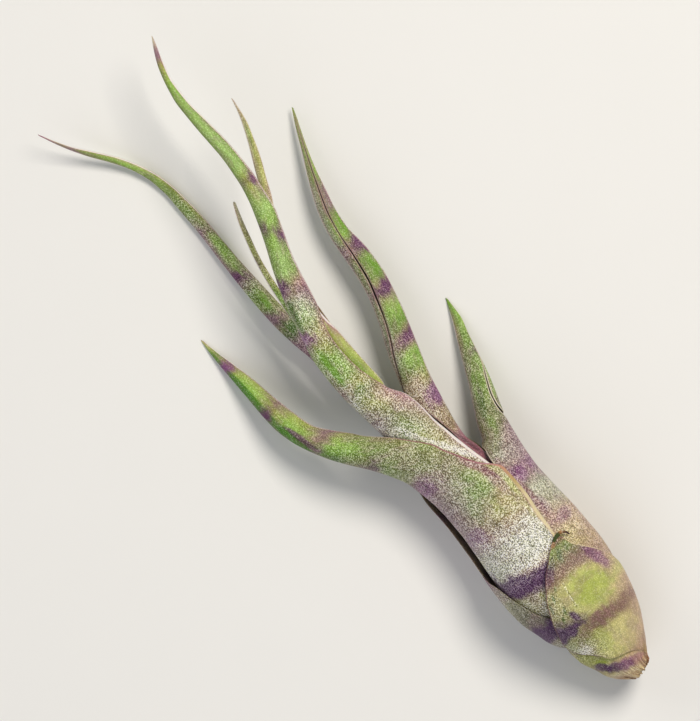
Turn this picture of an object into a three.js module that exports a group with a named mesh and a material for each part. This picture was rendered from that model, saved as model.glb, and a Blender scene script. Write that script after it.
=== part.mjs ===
// Medusa's head air plant lying on its side: a swollen bulb of wrapped leaf bases and rolled,
// wandering blades. Millimetres: X runs from the torn stem to the leaf tips, Y across the plant and
// Z up from the surface it lies on.
import * as THREE from 'three';

// Wall of a fleshy leaf, of a thin young leaf and of a papery outer scale, and the share of it that is
// left at a margin.
const sheathWall = 0.55;
const youngWall = 0.42;
const scaleWall = 0.42;
const marginShare = 0.5;
// Share of a strip's width over which it thins down to its margin.
const thinnedShare = 0.2;
// Share of a narrow blade's half width that its wall may fill, so that the roll stays open inside.
const wallLimit = 0.55;
// How far the point of a leaf reaches past its last section.
const pointLength = 0.5;
// Sections of a leaf stand where its lists name an x, and closer where its roll is long or turns fast.
const longestStep = 9;
const largestTurn = 26;
const shortestStep = 0.8;

const paint = {
  sheath: new THREE.MeshStandardMaterial({ name: 'silvery_sheath', color: '#a9ab88', roughness: 0.75 }),
  blade: new THREE.MeshStandardMaterial({ name: 'banded_green_leaf', color: '#84a552', roughness: 0.7 }),
  dry: new THREE.MeshStandardMaterial({ name: 'dry_brown_tissue', color: '#9a7a4e', roughness: 0.85 }),
};

// Every leaf is a strip rolled about a line that runs along X. Its lists hold the points its shape needs:
//   span     x, then the two sides of the roll seen from above (larger y first)
//   height   x, height of the roll's middle, and the roll's height over its width
//   margins  x, then where the strip begins and ends round the roll, in degrees from straight up
//            towards +y
const leaves = {
  // Outermost dry cup round the stem, with one lobe that shows on the left of the bulb.
  basal_collar: {
    paint: 'sheath', wall: scaleWall, across: 14, end: -63.7,
    span: [[-75.4, -0.2, -5.6], [-74, 1.5, -6.0], [-72, 2.9, -6.9], [-70, 3.65, -7.4],
      [-67, 4.95, -8.9], [-64, 5.35, -9.9]],
    height: [[-75.4, 8.6, 1], [-72, 8.9, 1], [-70, 9.0, 1], [-67, 9.4, 1], [-64, 9.8, 1]],
    margins: [[-75.4, -171, 171], [-69.5, -171, 171], [-67.8, -60, 165], [-66.2, 10, 140],
      [-64.8, 55, 118], [-64, 78, 102]],
  },
  // Broad scale on the front of the bulb, drawn out to a short point.
  basal_scale: {
    paint: 'sheath', wall: scaleWall, across: 13, end: -45.75,
    span: [[-73.4, 1.9, -6.85], [-71.4, 3.4, -7.85], [-70, 4.0, -8.4], [-66, 5.1, -10.5],
      [-62, 6.2, -11.9], [-58, 8.0, -12.8], [-54, 8.95, -13.3], [-50, 9.25, -13.45], [-46, 9.1, -13.4]],
    height: [[-73.4, 9.1, 1], [-71.4, 9.35, 1], [-66, 10.3, 1], [-62, 10.8, 1], [-58, 11.15, 1],
      [-50, 11.4, 1], [-46, 11.35, 1]],
    margins: [[-73.4, -122, -62], [-71.4, -124, -22], [-70, -130, 20], [-68.4, -142, 32],
      [-65.3, -142, 62], [-64, -136, 73], [-62.5, -126, 68], [-59.7, -108, 49], [-57, -84, 37],
      [-53, -59, 22], [-49.8, -41, 8], [-48.5, -34.5, 0], [-47.3, -31.5, -7], [-46.2, -29, -14.5]],
  },
  // Long leaf on the left: its base cups the belly and the left of the bulb, and its blade runs on
  // underneath.
  leaf_left_long: {
    paint: 'blade', wall: sheathWall, across: 13, end: 75.3,
    span: [[-69, 2.9, -6.9], [-66, 4.1, -8.7], [-64, 4.7, -10.05], [-62, 6.25, -10.15],
      [-60, 7.25, -10.45], [-58, 7.8, -11.2], [-54, 8.95, -11.65], [-50, 9.25, -12.15],
      [-46, 9.05, -12.35], [-42, 8.6, -12.2], [-38, 8.15, -11.65], [-30, 7.8, -10.6],
      [-26, 7.95, -9.85], [-22, 7.8, -8.4], [-18, 6.9, -6.4], [-14, 5.3, -3.9], [-10, 5.2, -2.0],
      [-5, 5.6, -0.4], [0, 6.3, 1.1], [5, 6.8, 2.2], [9.5, 7.1, 3.0], [14, 7.85, 4.1], [20, 8.45, 4.8],
      [26, 8.6, 5.1], [34, 8.4, 5.4], [42, 8.05, 5.35], [50, 8.05, 5.85], [54, 8.5, 6.6],
      [58, 9.75, 8.1], [62, 12.0, 10.3], [66, 14.75, 13.25], [70, 17.1, 16.35], [75, 19.4, 19.2]],
    height: [[-69, 8.9, 1], [-66, 9.1, 1], [-64, 9.6, 1], [-58, 10.5, 1], [-50, 10.75, 1],
      [-46, 10.7, 1], [-38, 10.0, 1], [-30, 9.4, 0.96], [-22, 8.3, 0.9], [-14, 6.0, 0.85],
      [-10, 5.0, 0.8], [-5, 4.3, 0.8], [0, 4.0, 0.8], [14, 3.2, 0.8], [26, 2.2, 0.85], [42, 1.24, 0.9],
      [50, 1.05, 0.9], [58, 1.7, 0.8], [66, 3.6, 0.75], [75, 7.0, 0.8]],
    margins: [[-69, 10, 200], [-62, 19, 215], [-54, 44, 218], [-50, 54, 218], [-46, 66, 218],
      [-42, 92, 220], [-26, 97, 225], [-22, 106, 230], [-14, 106, 240], [-10, 100, 250], [-6, 60, 256],
      [-3, 20, 260], [0, -20, 263], [4, -60, 267], [9, -76, 270], [75, -76, 268]],
  },
  // Broad leaf on the front, whose blade swings out to the left and comes down to the surface.
  leaf_front_left: {
    paint: 'blade', wall: sheathWall, across: 13, end: 25.8,
    span: [[-67, 2.5, -6.7], [-62, 4.8, -9.0], [-58, 6.7, -10.5], [-54, 7.85, -11.4], [-50, 8.3, -11.9],
      [-48, 8.15, -12.1], [-46, 7.8, -12.3], [-42, 7.35, -12.05], [-38, 6.95, -11.65],
      [-34, 6.65, -11.15], [-30, 6.65, -10.35], [-27, 6.85, -9.55], [-24, 7.35, -8.5], [-20, 8.3, -6.3],
      [-17, 9.9, -3.3], [-14, 11.8, 0.0], [-10, 14.8, 5.4], [-7, 16.8, 9.0], [-3, 18.85, 12.8],
      [0, 20.0, 14.95], [4, 20.85, 16.0], [8, 21.05, 16.85], [14, 21.05, 17.9], [19, 21.1, 19.1],
      [22, 21.05, 19.9], [25.5, 20.85, 20.6]],
    height: [[-67, 9.3, 1], [-62, 10.25, 1], [-58, 10.7, 1], [-54, 11.15, 1], [-50, 11.45, 1],
      [-46, 11.4, 1], [-38, 10.7, 1], [-30, 10.2, 1], [-24, 10.3, 1], [-20, 10.7, 0.93],
      [-17, 11.5, 0.87], [-14, 11.8, 0.85], [-10, 11.2, 0.82], [-3, 8.9, 0.85], [4, 6.3, 0.85],
      [12, 3.5, 0.85], [20, 0.95, 0.85], [25.5, 0.14, 0.85]],
    margins: [[-67, -28, 160], [-50, -28, 150], [-46, -25.5, 150], [-42, -31, 148], [-38, -35.5, 146],
      [-34, -39, 144], [-31, -43, 143], [-29, -45, 141], [-27.5, -39, 138], [-26, -30, 135],
      [-24, -24, 122], [-20, -18, 100], [-17, -29, 112], [-14, -34, 125], [-10.6, -48, 155],
      [-8, -56, 175], [-5, -80, 200], [0, -84, 230], [8, -84, 245], [25.5, -84, 245]],
  },
  // Leaf on the right of the bulb with a short blade that leans out and rests on the surface.
  leaf_right_low: {
    paint: 'blade', wall: sheathWall, across: 13, end: 2.1,
    span: [[-66, 2.7, -9.6], [-62, 4.0, -10.9], [-58, 6.1, -11.8], [-56, 6.0, -12.6], [-54, 5.9, -13.1],
      [-50, 5.8, -13.45], [-46, 5.4, -13.4], [-42, 5.1, -13.2], [-38, 4.6, -12.9], [-34, 3.6, -12.8],
      [-30, 1.9, -13.1], [-26, -2.5, -13.5], [-24.5, -5.3, -13.7], [-23, -7.8, -14.0],
      [-20, -9.1, -14.9], [-17, -10.7, -15.95], [-14, -12.3, -16.9], [-10, -14.2, -17.9],
      [-6, -16.1, -18.9], [-2, -18.1, -19.95], [1.6, -19.7, -20.1]],
    height: [[-66, 10.0, 0.96], [-62, 10.3, 0.93], [-58, 10.3, 0.95], [-46, 10.4, 0.97],
      [-38, 9.8, 0.95], [-34, 9.4, 0.92], [-30, 9.1, 0.88], [-26, 8.4, 0.9], [-23, 7.6, 0.95],
      [-20, 6.6, 0.95], [-14, 4.6, 0.9], [-8, 2.6, 0.9], [-2, 0.95, 0.9], [1.6, 0.2, 0.9]],
    margins: [[-66, -146, -30], [-58, -148, -30], [-54, -150, -22], [-46, -150, -11], [-38, -146, -16],
      [-34, -140, -15], [-30, -128, -9], [-26, -106, 12], [-24.5, -95, 34], [-23.2, -86, 100],
      [-22.3, -76, 200], [-21.6, -64, 262], [-20.5, -50, 296], [-18.5, -38, 314], [-17, -34, 319],
      [-14, -42, 311], [-12.6, -56, 296], [-11, -72, 279], [-10, -80, 270], [1.6, -84, 262]],
  },
  // Tallest leaf, up the middle in front of the others.
  leaf_centre: {
    paint: 'blade', wall: sheathWall, across: 13, end: 75.5,
    span: [[-61, 3.4, -7.8], [-58, 4.6, -9.4], [-54, 5.5, -10.3], [-46, 5.7, -10.3], [-38, 5.0, -9.0],
      [-30, 4.8, -8.0], [-27, 5.0, -7.6], [-24, 5.2, -6.8], [-20, 5.5, -5.7], [-17, 5.4, -4.6],
      [-14, 5.55, -3.75], [-10, 6.0, -3.3], [-7, 6.35, -2.6], [-4, 6.7, -1.0], [0, 7.05, -0.75],
      [4, 7.15, -0.5], [8, 7.0, -0.3], [12, 6.3, -0.3], [16, 5.3, -0.55], [20, 4.3, -1.25],
      [26, 2.2, -2.7], [32, -0.35, -4.75], [36, -1.85, -6.1], [40, -3.15, -6.65], [44, -3.95, -7.15],
      [50, -4.4, -7.3], [56, -4.3, -6.9], [62, -4.4, -6.45], [66, -5.05, -6.6], [70, -6.2, -7.5],
      [73, -7.6, -8.5], [75.2, -8.9, -9.15]],
    height: [[-61, 10.5, 1], [-54, 10.8, 1], [-38, 10.2, 1], [-30, 10.0, 1], [-24, 10.3, 1],
      [-20, 10.9, 0.96], [-17, 10.9, 0.93], [-14, 11.1, 0.92], [-10, 12.2, 0.9], [-5, 13.8, 0.87],
      [0, 15.3, 0.85], [10, 18, 0.85], [20, 20, 0.85], [32, 21, 0.85], [44, 20, 0.85], [56, 17.4, 0.85],
      [66, 15.4, 0.85], [75.2, 14.4, 0.85]],
    margins: [[-61, -60, 190], [-46, -52, 170], [-30, -50, 150], [-27, -51, 136], [-24, -51.5, 118],
      [-20, -54, 105], [-17, -62, 105], [-14, -70, 105], [-10, -80, 108], [-7, -86, 160],
      [-4.8, -82, 205], [-3.8, -66, 214], [-2.3, -55, 222], [-0.9, -44, 226], [0.7, -37.5, 229],
      [2.3, -31.5, 231], [4.1, -29, 233], [7, -28, 236], [10, -29, 242], [13, -39, 254],
      [15.5, -56, 256], [17.5, -78, 249], [20, -88, 238], [27, -86, 205], [32, -84, 165],
      [40, -84, 165], [48, -84, 228], [75.2, -84, 245]],
  },
  // Channelled leaf between the centre and the right, with its groove turned up.
  leaf_right_channelled: {
    paint: 'blade', wall: sheathWall, across: 12, end: 48.5,
    span: [[-62, 2.2, -7.4], [-54, 3.0, -9.2], [-46, 2.6, -9.0], [-38, 2.1, -8.2], [-30, 1.5, -7.45],
      [-26, 1.35, -7.05], [-23, 1.3, -6.6], [-20, 1.3, -5.92], [-17, 1.0, -6.2], [-14, 0.3, -6.8],
      [-10, -0.5, -7.7], [-6.5, -2.2, -8.5], [-3.5, -3.2, -9.45], [0, -4.35, -10.55],
      [3, -5.55, -11.55], [6, -6.9, -12.5], [10, -8.3, -13.5], [14, -9.3, -14.25], [19, -9.9, -14.55],
      [24, -10.35, -14.3], [28, -11.15, -14.7], [32, -12.55, -15.65], [36, -14.3, -16.7],
      [40, -16.3, -17.95], [44, -18.3, -19.4], [48.2, -20.6, -20.95]],
    height: [[-62, 10.5, 1], [-46, 10.0, 1], [-30, 9.6, 0.95], [-20, 8.8, 0.9], [-14, 8.0, 0.92],
      [-10, 7.6, 0.9], [4, 6.8, 0.88], [14, 6.2, 0.85], [24, 5.4, 0.85], [32, 4.6, 0.85],
      [40, 3.2, 0.85], [48.2, 1.6, 0.85]],
    margins: [[-62, 100, 285], [-34, 100, 290], [-30, 100, 302], [-26, 96, 316], [-23, 92, 317],
      [-20, 88, 319], [-17, 80, 331], [-14, 72, 352], [-10, 72, 382], [-6.5, 78, 428], [-3.5, 65, 418],
      [0, 49, 403], [3, 37, 391], [10, 33, 387], [14, 27, 381], [19, 19, 373], [24, 8, 362],
      [28, 2, 356], [32, -3, 351], [36, -8, 346], [40, -12, 341], [48.2, -12, 341]],
  },
  // Young leaf inside the groove of the centre leaf, which it leaves near its tip.
  leaf_inner_thin: {
    paint: 'blade', wall: youngWall, across: 8, end: 56.8,
    span: [[-44, 0.8, -2.8], [-30, 1.0, -2.4], [-20, 1.6, -1.4], [-10, 2.3, -0.5], [-5.5, 2.45, -0.15],
      [-4.2, 2.5, -0.2], [-3.2, 2.5, -0.45], [-2.2, 2.5, -0.7], [-1, 2.55, -0.74], [1, 2.6, -0.64],
      [3, 2.6, -0.55], [6, 2.6, -0.46], [9, 2.55, -0.42], [11, 2.45, -0.36], [13, 2.25, -0.1],
      [15, 2.05, -0.03], [20, 1.6, -0.35], [28, 0.0, -1.9], [32, -1.55, -3.35], [35, -3.2, -5.5],
      [38, -5.05, -7.2], [41, -6.55, -8.5], [44, -7.95, -9.9], [48, -9.85, -11.4],
      [52, -11.55, -12.6], [55, -12.55, -13.0], [56.5, -12.9, -13.15]],
    height: [[-44, 11.5, 1], [-30, 12, 1], [-20, 12.6, 1], [-10, 13.0, 1], [-4, 14.3, 0.85],
      [-2.3, 14.75, 0.74], [0, 15.6, 0.75], [5, 17.3, 0.78], [10, 18.4, 0.8], [14, 19.05, 0.95],
      [20, 20.0, 0.95], [32, 20.8, 0.9], [35, 20.2, 0.9],
      [38, 19.2, 0.9], [44, 18.2, 0.9], [56.5, 16.0, 0.9]],
    margins: [[-44, -78, 250], [56.5, -78, 258]],
  },
  // Short thin leaf that comes out from under the centre leaf on the left.
  leaf_inner_short: {
    paint: 'blade', wall: youngWall, across: 8, end: 41.7,
    span: [[-24, 3.6, 1.6], [-20, 4.3, 2.3], [-14, 3.4, 1.4], [-10, 2.9, 0.9], [-5, 3.55, 1.65],
      [0, 4.5, 2.7], [10, 5.4, 3.75], [17, 5.1, 3.5], [23, 4.6, 3.1], [30, 3.4, 2.15], [34, 2.35, 1.1],
      [38, 1.05, 0.0], [41.3, -0.45, -1.05]],
    height: [[-24, 8.0, 1], [-20, 7.2, 1], [-14, 6.2, 1], [-10, 6.5, 1], [-5, 8.2, 1], [0, 8.9, 1],
      [10, 9.6, 1], [20, 10.2, 0.95], [30, 11.2, 0.9], [41.3, 12.6, 0.9]],
    margins: [[-24, -80, 250], [41.3, -80, 255]],
  },
};

// Withered end of the basal scale, hooked back over the leaves under it: x, y, z and radius.
const dryTipPath = [[-46.1, -4.2, 21.75, 0.3], [-45.5, -5.6, 21.4, 0.38], [-45.15, -7.0, 20.95, 0.4],
  [-45.5, -8.2, 19.9, 0.34], [-46.3, -8.75, 19.45, 0.26], [-47.1, -8.9, 19.35, 0.14]];
const dryTipSides = 7;

// Torn end of the stem inside the collar: x, middle in y, middle in z and radius.
const stubPath = [[-75.6, -2.9, 8.6, 1.4], [-75.4, -2.9, 8.6, 1.75], [-74.4, -2.7, 8.8, 2.2],
  [-72.4, -2.4, 9.1, 2.9], [-70.2, -2.3, 9.5, 3.0], [-67.5, -2.3, 9.9, 2.2]];
const stubSides = 12;

const radians = (degrees) => (degrees * Math.PI) / 180;

// Smooth value of one column of a list of points at x, without overshoot between them.
function along(points, x, column) {
  const last = points.length - 1;
  if (x <= points[0][0]) return points[0][column];
  if (x >= points[last][0]) return points[last][column];
  const i = points.findIndex((point) => point[0] > x) - 1;
  const slope = (k) => (points[k + 1][column] - points[k][column]) / (points[k + 1][0] - points[k][0]);
  const tangent = (k) => {
    if (k === 0) return slope(0);
    if (k === last) return slope(last - 1);
    const before = slope(k - 1);
    const after = slope(k);
    return before * after <= 0 ? 0 : (2 * before * after) / (before + after);
  };
  const step = points[i + 1][0] - points[i][0];
  const t = (x - points[i][0]) / step;
  const rise = t * t * (3 - 2 * t);
  return points[i][column] * (1 - rise) + points[i + 1][column] * rise
    + step * t * (1 - t) * ((1 - t) * tangent(i) - t * tangent(i + 1));
}

// One section of a leaf at x: outer side from margin to margin, then the inner side back again.
function leafSection(leaf, x) {
  const upper = along(leaf.span, x, 1);
  const lower = along(leaf.span, x, 2);
  const halfWidth = (upper - lower) / 2;
  const halfHeight = halfWidth * along(leaf.height, x, 2);
  const middle = new THREE.Vector2((upper + lower) / 2, along(leaf.height, x, 1));
  const begin = along(leaf.margins, x, 1);
  const sweep = along(leaf.margins, x, 2) - begin;
  const fullWall = Math.min(leaf.wall, wallLimit * Math.min(halfWidth, halfHeight));
  const outer = [];
  const inner = [];
  for (let i = 0; i < leaf.across; i += 1) {
    const share = i / (leaf.across - 1);
    const angle = radians(begin + sweep * share);
    const fromMargin = Math.min(1, Math.min(share, 1 - share) / thinnedShare);
    const wall = fullWall * (marginShare + (1 - marginShare) * fromMargin);
    const sideways = Math.sin(angle);
    const upwards = Math.cos(angle);
    const at = (less) => new THREE.Vector3(
      x, middle.x + (halfWidth - less) * sideways, middle.y + (halfHeight - less) * upwards);
    outer.push(at(0));
    inner.unshift(at(wall));
  }
  return [...outer, ...inner];
}

// Closed skin over a row of rings with the same number of points, the last ring drawn to a point.
function skin(rings, point, firstCap) {
  const count = rings[0].length;
  const corners = [...rings.flat(), point];
  const faces = [...firstCap];
  for (let ring = 0; ring < rings.length - 1; ring += 1) {
    for (let i = 0; i < count; i += 1) {
      const next = (i + 1) % count;
      const here = ring * count;
      const there = here + count;
      faces.push(here + i, there + i, there + next, here + i, there + next, here + next);
    }
  }
  const lastRing = (rings.length - 1) * count;
  for (let i = 0; i < count; i += 1) {
    faces.push(lastRing + i, corners.length - 1, lastRing + ((i + 1) % count));
  }
  const geometry = new THREE.BufferGeometry().setFromPoints(corners);
  geometry.setIndex(faces);
  geometry.computeVertexNormals();
  return geometry;
}

function middleOf(ring) {
  return ring.reduce((sum, corner) => sum.add(corner), new THREE.Vector3()).divideScalar(ring.length);
}

// Where a leaf is cut into sections along X.
function stationsOf(leaf) {
  const first = leaf.span[0][0];
  const last = leaf.end - pointLength;
  const named = [...leaf.span, ...leaf.margins].map((point) => point[0]).sort((a, b) => a - b);
  const stations = [first];
  for (const x of [...named.filter((value) => value < last - shortestStep), last]) {
    const before = stations[stations.length - 1];
    if (x - before < shortestStep) continue;
    const margin = (column, where) => along(leaf.margins, where, column);
    const turned = (column) => Math.abs(margin(column, x) - margin(column, before));
    const turn = Math.max(turned(1), turned(2));
    const parts = Math.ceil(Math.max((x - before) / longestStep, turn / largestTurn));
    for (let i = 1; i <= parts; i += 1) stations.push(before + ((x - before) * i) / parts);
  }
  return stations;
}

function leafGeometry(leaf) {
  const rings = stationsOf(leaf).map((x) => leafSection(leaf, x));
  const cap = [];
  const count = 2 * leaf.across;
  for (let i = 0; i < leaf.across - 1; i += 1) {
    cap.push(i, i + 1, count - 2 - i, i, count - 2 - i, count - 1 - i);
  }
  const point = middleOf(rings[rings.length - 1]);
  point.x += pointLength;
  return skin(rings, point, cap);
}

// Round rod along a path whose points hold x, y, z and radius; it ends in a point.
function rodGeometry(path, sides) {
  const centres = path.map(([x, y, z]) => new THREE.Vector3(x, y, z));
  const up = new THREE.Vector3(0, 0, 1);
  const rings = path.map(([, , , radius], k) => {
    const ahead = centres[Math.min(k + 1, centres.length - 1)];
    const forward = ahead.clone().sub(centres[Math.max(k - 1, 0)]).normalize();
    const side = up.clone().cross(forward).normalize();
    const lift = forward.clone().cross(side);
    return Array.from({ length: sides }, (_, i) => {
      const angle = (2 * Math.PI * i) / sides;
      return centres[k].clone().addScaledVector(lift, radius * Math.cos(angle))
        .addScaledVector(side, radius * Math.sin(angle));
    });
  });
  const cap = [];
  for (let i = 1; i < sides - 1; i += 1) cap.push(0, i, i + 1);
  const lastTwo = centres.slice(-2);
  const onward = lastTwo[1].clone().sub(lastTwo[0]).normalize();
  const point = lastTwo[1].clone().addScaledVector(onward, pointLength / 2);
  return skin(rings, point, cap);
}

const group = new THREE.Group();
group.name = 'medusas_head_air_plant';

function add(name, geometry, material) {
  const mesh = new THREE.Mesh(geometry, material.clone());
  mesh.name = name;
  group.add(mesh);
}

add('stem_stub', rodGeometry(stubPath, stubSides), paint.dry);
add('scale_dry_tip', rodGeometry(dryTipPath, dryTipSides), paint.dry);
for (const [name, leaf] of Object.entries(leaves)) add(name, leafGeometry(leaf), paint[leaf.paint]);

export default group;
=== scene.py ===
# Medusa's head air plant as picked, lying on a pale table and seen from straight above.
# The lists of sizes below are in millimetres, and Blender's own objects are in metres.
import math
from functools import partial

import bpy
import numpy as np
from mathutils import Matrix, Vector


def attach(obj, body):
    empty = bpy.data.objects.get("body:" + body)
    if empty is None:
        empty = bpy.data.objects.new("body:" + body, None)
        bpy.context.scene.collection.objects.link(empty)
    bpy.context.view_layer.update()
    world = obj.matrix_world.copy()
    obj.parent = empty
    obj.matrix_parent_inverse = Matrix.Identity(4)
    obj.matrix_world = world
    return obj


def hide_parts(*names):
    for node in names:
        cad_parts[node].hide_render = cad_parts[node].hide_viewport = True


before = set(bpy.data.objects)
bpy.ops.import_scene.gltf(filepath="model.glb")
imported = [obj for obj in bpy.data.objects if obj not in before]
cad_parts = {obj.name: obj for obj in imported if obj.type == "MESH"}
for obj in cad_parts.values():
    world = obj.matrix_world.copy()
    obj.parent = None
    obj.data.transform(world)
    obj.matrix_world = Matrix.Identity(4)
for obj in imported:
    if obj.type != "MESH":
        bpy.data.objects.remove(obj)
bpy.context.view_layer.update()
mm = 0.001

# Camera: straight down, with the leaf tips towards the upper left of the picture.
camera = {
    "over": (4.62, 1.60),  # the point of the table under the middle of the picture
    "height": 2000,  # above the middle of the plant, so long a lens that nothing looks nearer
    "level": 10,  # height of the middle of the plant
    "sees": 136.0,  # length across the long side of the picture
    "turn": -130,  # degrees about the upright
    "sensor": 36,
    "clip": (0.01, 50),  # metres
}


def makeCamera():
    data = bpy.data.cameras.new("camera")
    data.sensor_width = camera["sensor"]
    data.lens = data.sensor_width * camera["height"] / camera["sees"]
    data.clip_start, data.clip_end = camera["clip"]
    seen = bpy.data.objects.new("camera", data)
    x, y = camera["over"]
    seen.location = Vector((x, y, camera["level"] + camera["height"])) * mm
    seen.rotation_euler = (0, 0, math.radians(camera["turn"]))
    bpy.context.scene.collection.objects.link(seen)
    bpy.context.scene.camera = seen


makeCamera()


def toLinear(code):
    parts = [int(code[i:i + 2], 16) / 255 for i in (1, 3, 5)]
    return [p / 12.92 if p <= 0.04045 else ((p + 0.055) / 1.055) ** 2.4 for p in parts]


# Adds a node with its inputs, by name or number or in their order, and gives one of its outputs.
def addNode(tree, kind, inputs=(), settings=None, output=0):
    made = tree.nodes.new("ShaderNode" + kind)
    for name, value in (settings or {}).items():
        setattr(made, name, value)
    for name, value in (inputs.items() if isinstance(inputs, dict) else enumerate(inputs)):
        if isinstance(value, bpy.types.NodeSocket):
            tree.links.new(value, made.inputs[name])
        else:
            made.inputs[name].default_value = value
    return made.outputs[output] if made.outputs else None


# Settings that many nodes share. The inputs of a colour mix are 0 for the amount, 6 and 7, and its
# output is 2. A ramp takes the value, where it starts and stops, and what it gives there.
plus, minus, times, timesPlus = [
    {"operation": name} for name in ("ADD", "SUBTRACT", "MULTIPLY", "MULTIPLY_ADD")]
eased = {"interpolation_type": "SMOOTHSTEP"}
colours = {"data_type": "RGBA"}
filtered = {"data_type": "RGBA", "blend_type": "MULTIPLY"}


def newMaterial(name):
    made = bpy.data.materials.new(name)
    made.use_nodes = True
    made.node_tree.nodes.clear()
    return made, made.node_tree


# Table and light. The table is painted board: a grain almost too faint to see and hardly any shine.
studio = {
    "table": "#E9E7E2",
    "tableSize": 16000,
    "grainScale": 900.0,  # to a metre
    "grainShade": 0.985,
    "roughness": 0.7,
    "shine": 0.3,
    "world": "#EEF2F8",
    "worldStrength": 0.24,
    # name: place in metres, size in metres, watts, colour
    "lights": {
        "key": ((0.10, -0.50, 0.86), 0.42, 7.6, "#FFFAF2"),
        "fill": ((-0.50, 0.55, 0.66), 0.90, 2.8, "#F2F5FF"),
        "tipLight": ((0.75, 0.25, 0.55), 0.60, 1.4, "#FFFFFF"),
    },
}


def makeTable():
    half = studio["tableSize"] / 2 * mm
    mesh = bpy.data.meshes.new("table")
    corners = [(-half, -half, 0), (half, -half, 0), (half, half, 0), (-half, half, 0)]
    mesh.from_pydata(corners, [], [(0, 1, 2, 3)])
    table = bpy.data.objects.new("table", mesh)
    bpy.context.scene.collection.objects.link(table)
    board, tree = newMaterial("mattLaminate")
    grain = addNode(tree, "TexNoise", {"Scale": studio["grainScale"], "Detail": 2.0})
    tint = toLinear(studio["table"])
    darker = [c * studio["grainShade"] for c in tint]
    shade = addNode(tree, "Mix", {0: grain, 6: (*darker, 1), 7: (*tint, 1)}, colours, 2)
    surface = addNode(tree, "BsdfPrincipled", {
        "Base Color": shade, "Roughness": studio["roughness"], "Specular IOR Level": studio["shine"]})
    addNode(tree, "OutputMaterial", {"Surface": surface})
    mesh.materials.append(board)


def makeLights():
    world = bpy.data.worlds.new("studio")
    world.use_nodes = True
    background = world.node_tree.nodes["Background"]
    background.inputs["Color"].default_value = (*toLinear(studio["world"]), 1)
    background.inputs["Strength"].default_value = studio["worldStrength"]
    bpy.context.scene.world = world
    for name, (place, size, watts, tone) in studio["lights"].items():
        data = bpy.data.lights.new(name, "AREA")
        data.shape = "DISK"
        data.size = size
        data.energy = watts
        data.color = toLinear(tone)
        lamp = bpy.data.objects.new(name, data)
        lamp.location = place
        lamp.rotation_euler = (-Vector(place)).to_track_quat("-Z", "Y").to_euler()
        lamp.visible_camera = False
        bpy.context.scene.collection.objects.link(lamp)
    bpy.context.scene.view_settings.view_transform = "Standard"


makeTable()
makeLights()
print("camera, table and lights are in place")

# Tints of the leaf tissue under its white scales, by the names used in the leaves' colour lists.
tints = {
    "fresh": "#94B84E",  # sunlit blade
    "spring": "#A6C66E",  # lightest green of the smooth blades
    "vivid": "#70A024",  # clear green with no bloom
    "deep": "#4C6B22",  # green turned away from the light
    "leek": "#7F9844",  # dull green
    "moss": "#83864C",  # green with some brown in it
    "sage": "#8D8B66",  # grey green
    "olive": "#A2A24A",
    "lime": "#B4BB62",  # the clear patches on the scales
    "straw": "#CBC57C",
    "tan": "#A18A64",
    "gold": "#BBA062",
    "buff": "#C2A486",
    "cream": "#DCD1A8",
    "silver": "#A5A58A",
    "salmon": "#C58E70",
    "rose": "#B27A86",
    "wine": "#8C4F5E",
    "mauve": "#8E6A78",
    "orchid": "#84487C",
    "dusk": "#7E5A58",  # brown with purple in it
    "plum": "#68325F",
    "violet": "#4A1A52",
    # This dark grey brown is painted shade on the base of the long left leaf.
    "stone": "#6B6353",
    "umber": "#55502F",
    "brown": "#7A5A34",
    "rust": "#AE7C46",
    "rim": "#E8DCC0",  # the clear, dead cells of a margin
    # edge is a painted highlight: the clear margin cells drawn as if lit.
    "edge": "#FFF5EC",  # the same cells where they catch the light
    "amber": "#E2D2A4",
    "citron": "#A7B53A",  # brightest yellow green
    # Dark brown: the real dark end of the withered hook, and painted shadow lines along the basal scale's
    # second margin and under the centre leaf's edge.
    "ink": "#4A3034",
    "drying": "#3C4A1A",  # last living green of a tip that withers
}


# One column of a list of rows. In a short row the last entry stands for those that are missing.
def column(rows, k):
    return [row[min(k, len(row) - 1)] for row in rows]


def ease(t):
    return t * t * (3 - 2 * t)


def smoothStep(low, high, value):
    return ease(np.clip((value - low) / (high - low), 0, 1))


# Smooth value of one column of a list of points at x, without overshoot between the points.
def along(points, x, k):
    xs, ys = [np.array(column(points, which), float) for which in (0, k)]
    if len(points) == 1:
        return np.full(np.shape(x), ys[0])
    slopes = np.diff(ys) / np.diff(xs)
    tangents = np.empty_like(ys)
    tangents[0], tangents[-1] = slopes[0], slopes[-1]
    before, after = slopes[:-1], slopes[1:]
    bends = before * after > 0
    total = np.where(bends, before + after, 1)
    tangents[1:-1] = np.where(bends, 2 * before * after / total, 0)
    x = np.clip(x, xs[0], xs[-1])
    i = np.clip(np.searchsorted(xs, x, side="right") - 1, 0, len(xs) - 2)
    step = xs[i + 1] - xs[i]
    t = (x - xs[i]) / step
    bulge = step * t * (1 - t) * ((1 - t) * tangents[i] - t * tangents[i + 1])
    return ys[i] * (1 - ease(t)) + ys[i + 1] * ease(t) + bulge


# Colour at x of one column of a list of tints.
def tintAlong(rows, x, k):
    table = np.array([toLinear(tints[name]) for name in column(rows, k)])
    return np.stack([np.interp(x, column(rows, 0), table[:, c]) for c in range(3)], -1)


# Makes one value or colour out of those for the upper edge, the middle and the lower edge of a leaf
# seen from above: side runs from -1 at the lower edge to 1 at the upper one.
def acrossLeaf(upper, middle, lower, side):
    up = np.clip(side, 0, 1)
    down = np.clip(-side, 0, 1)
    return upper * up + lower * down + middle * (1 - up - down)


lattice = np.random.default_rng(11).random((256, 256))
seedStep = (37, 71)  # how far each seed moves over the lattice


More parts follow.
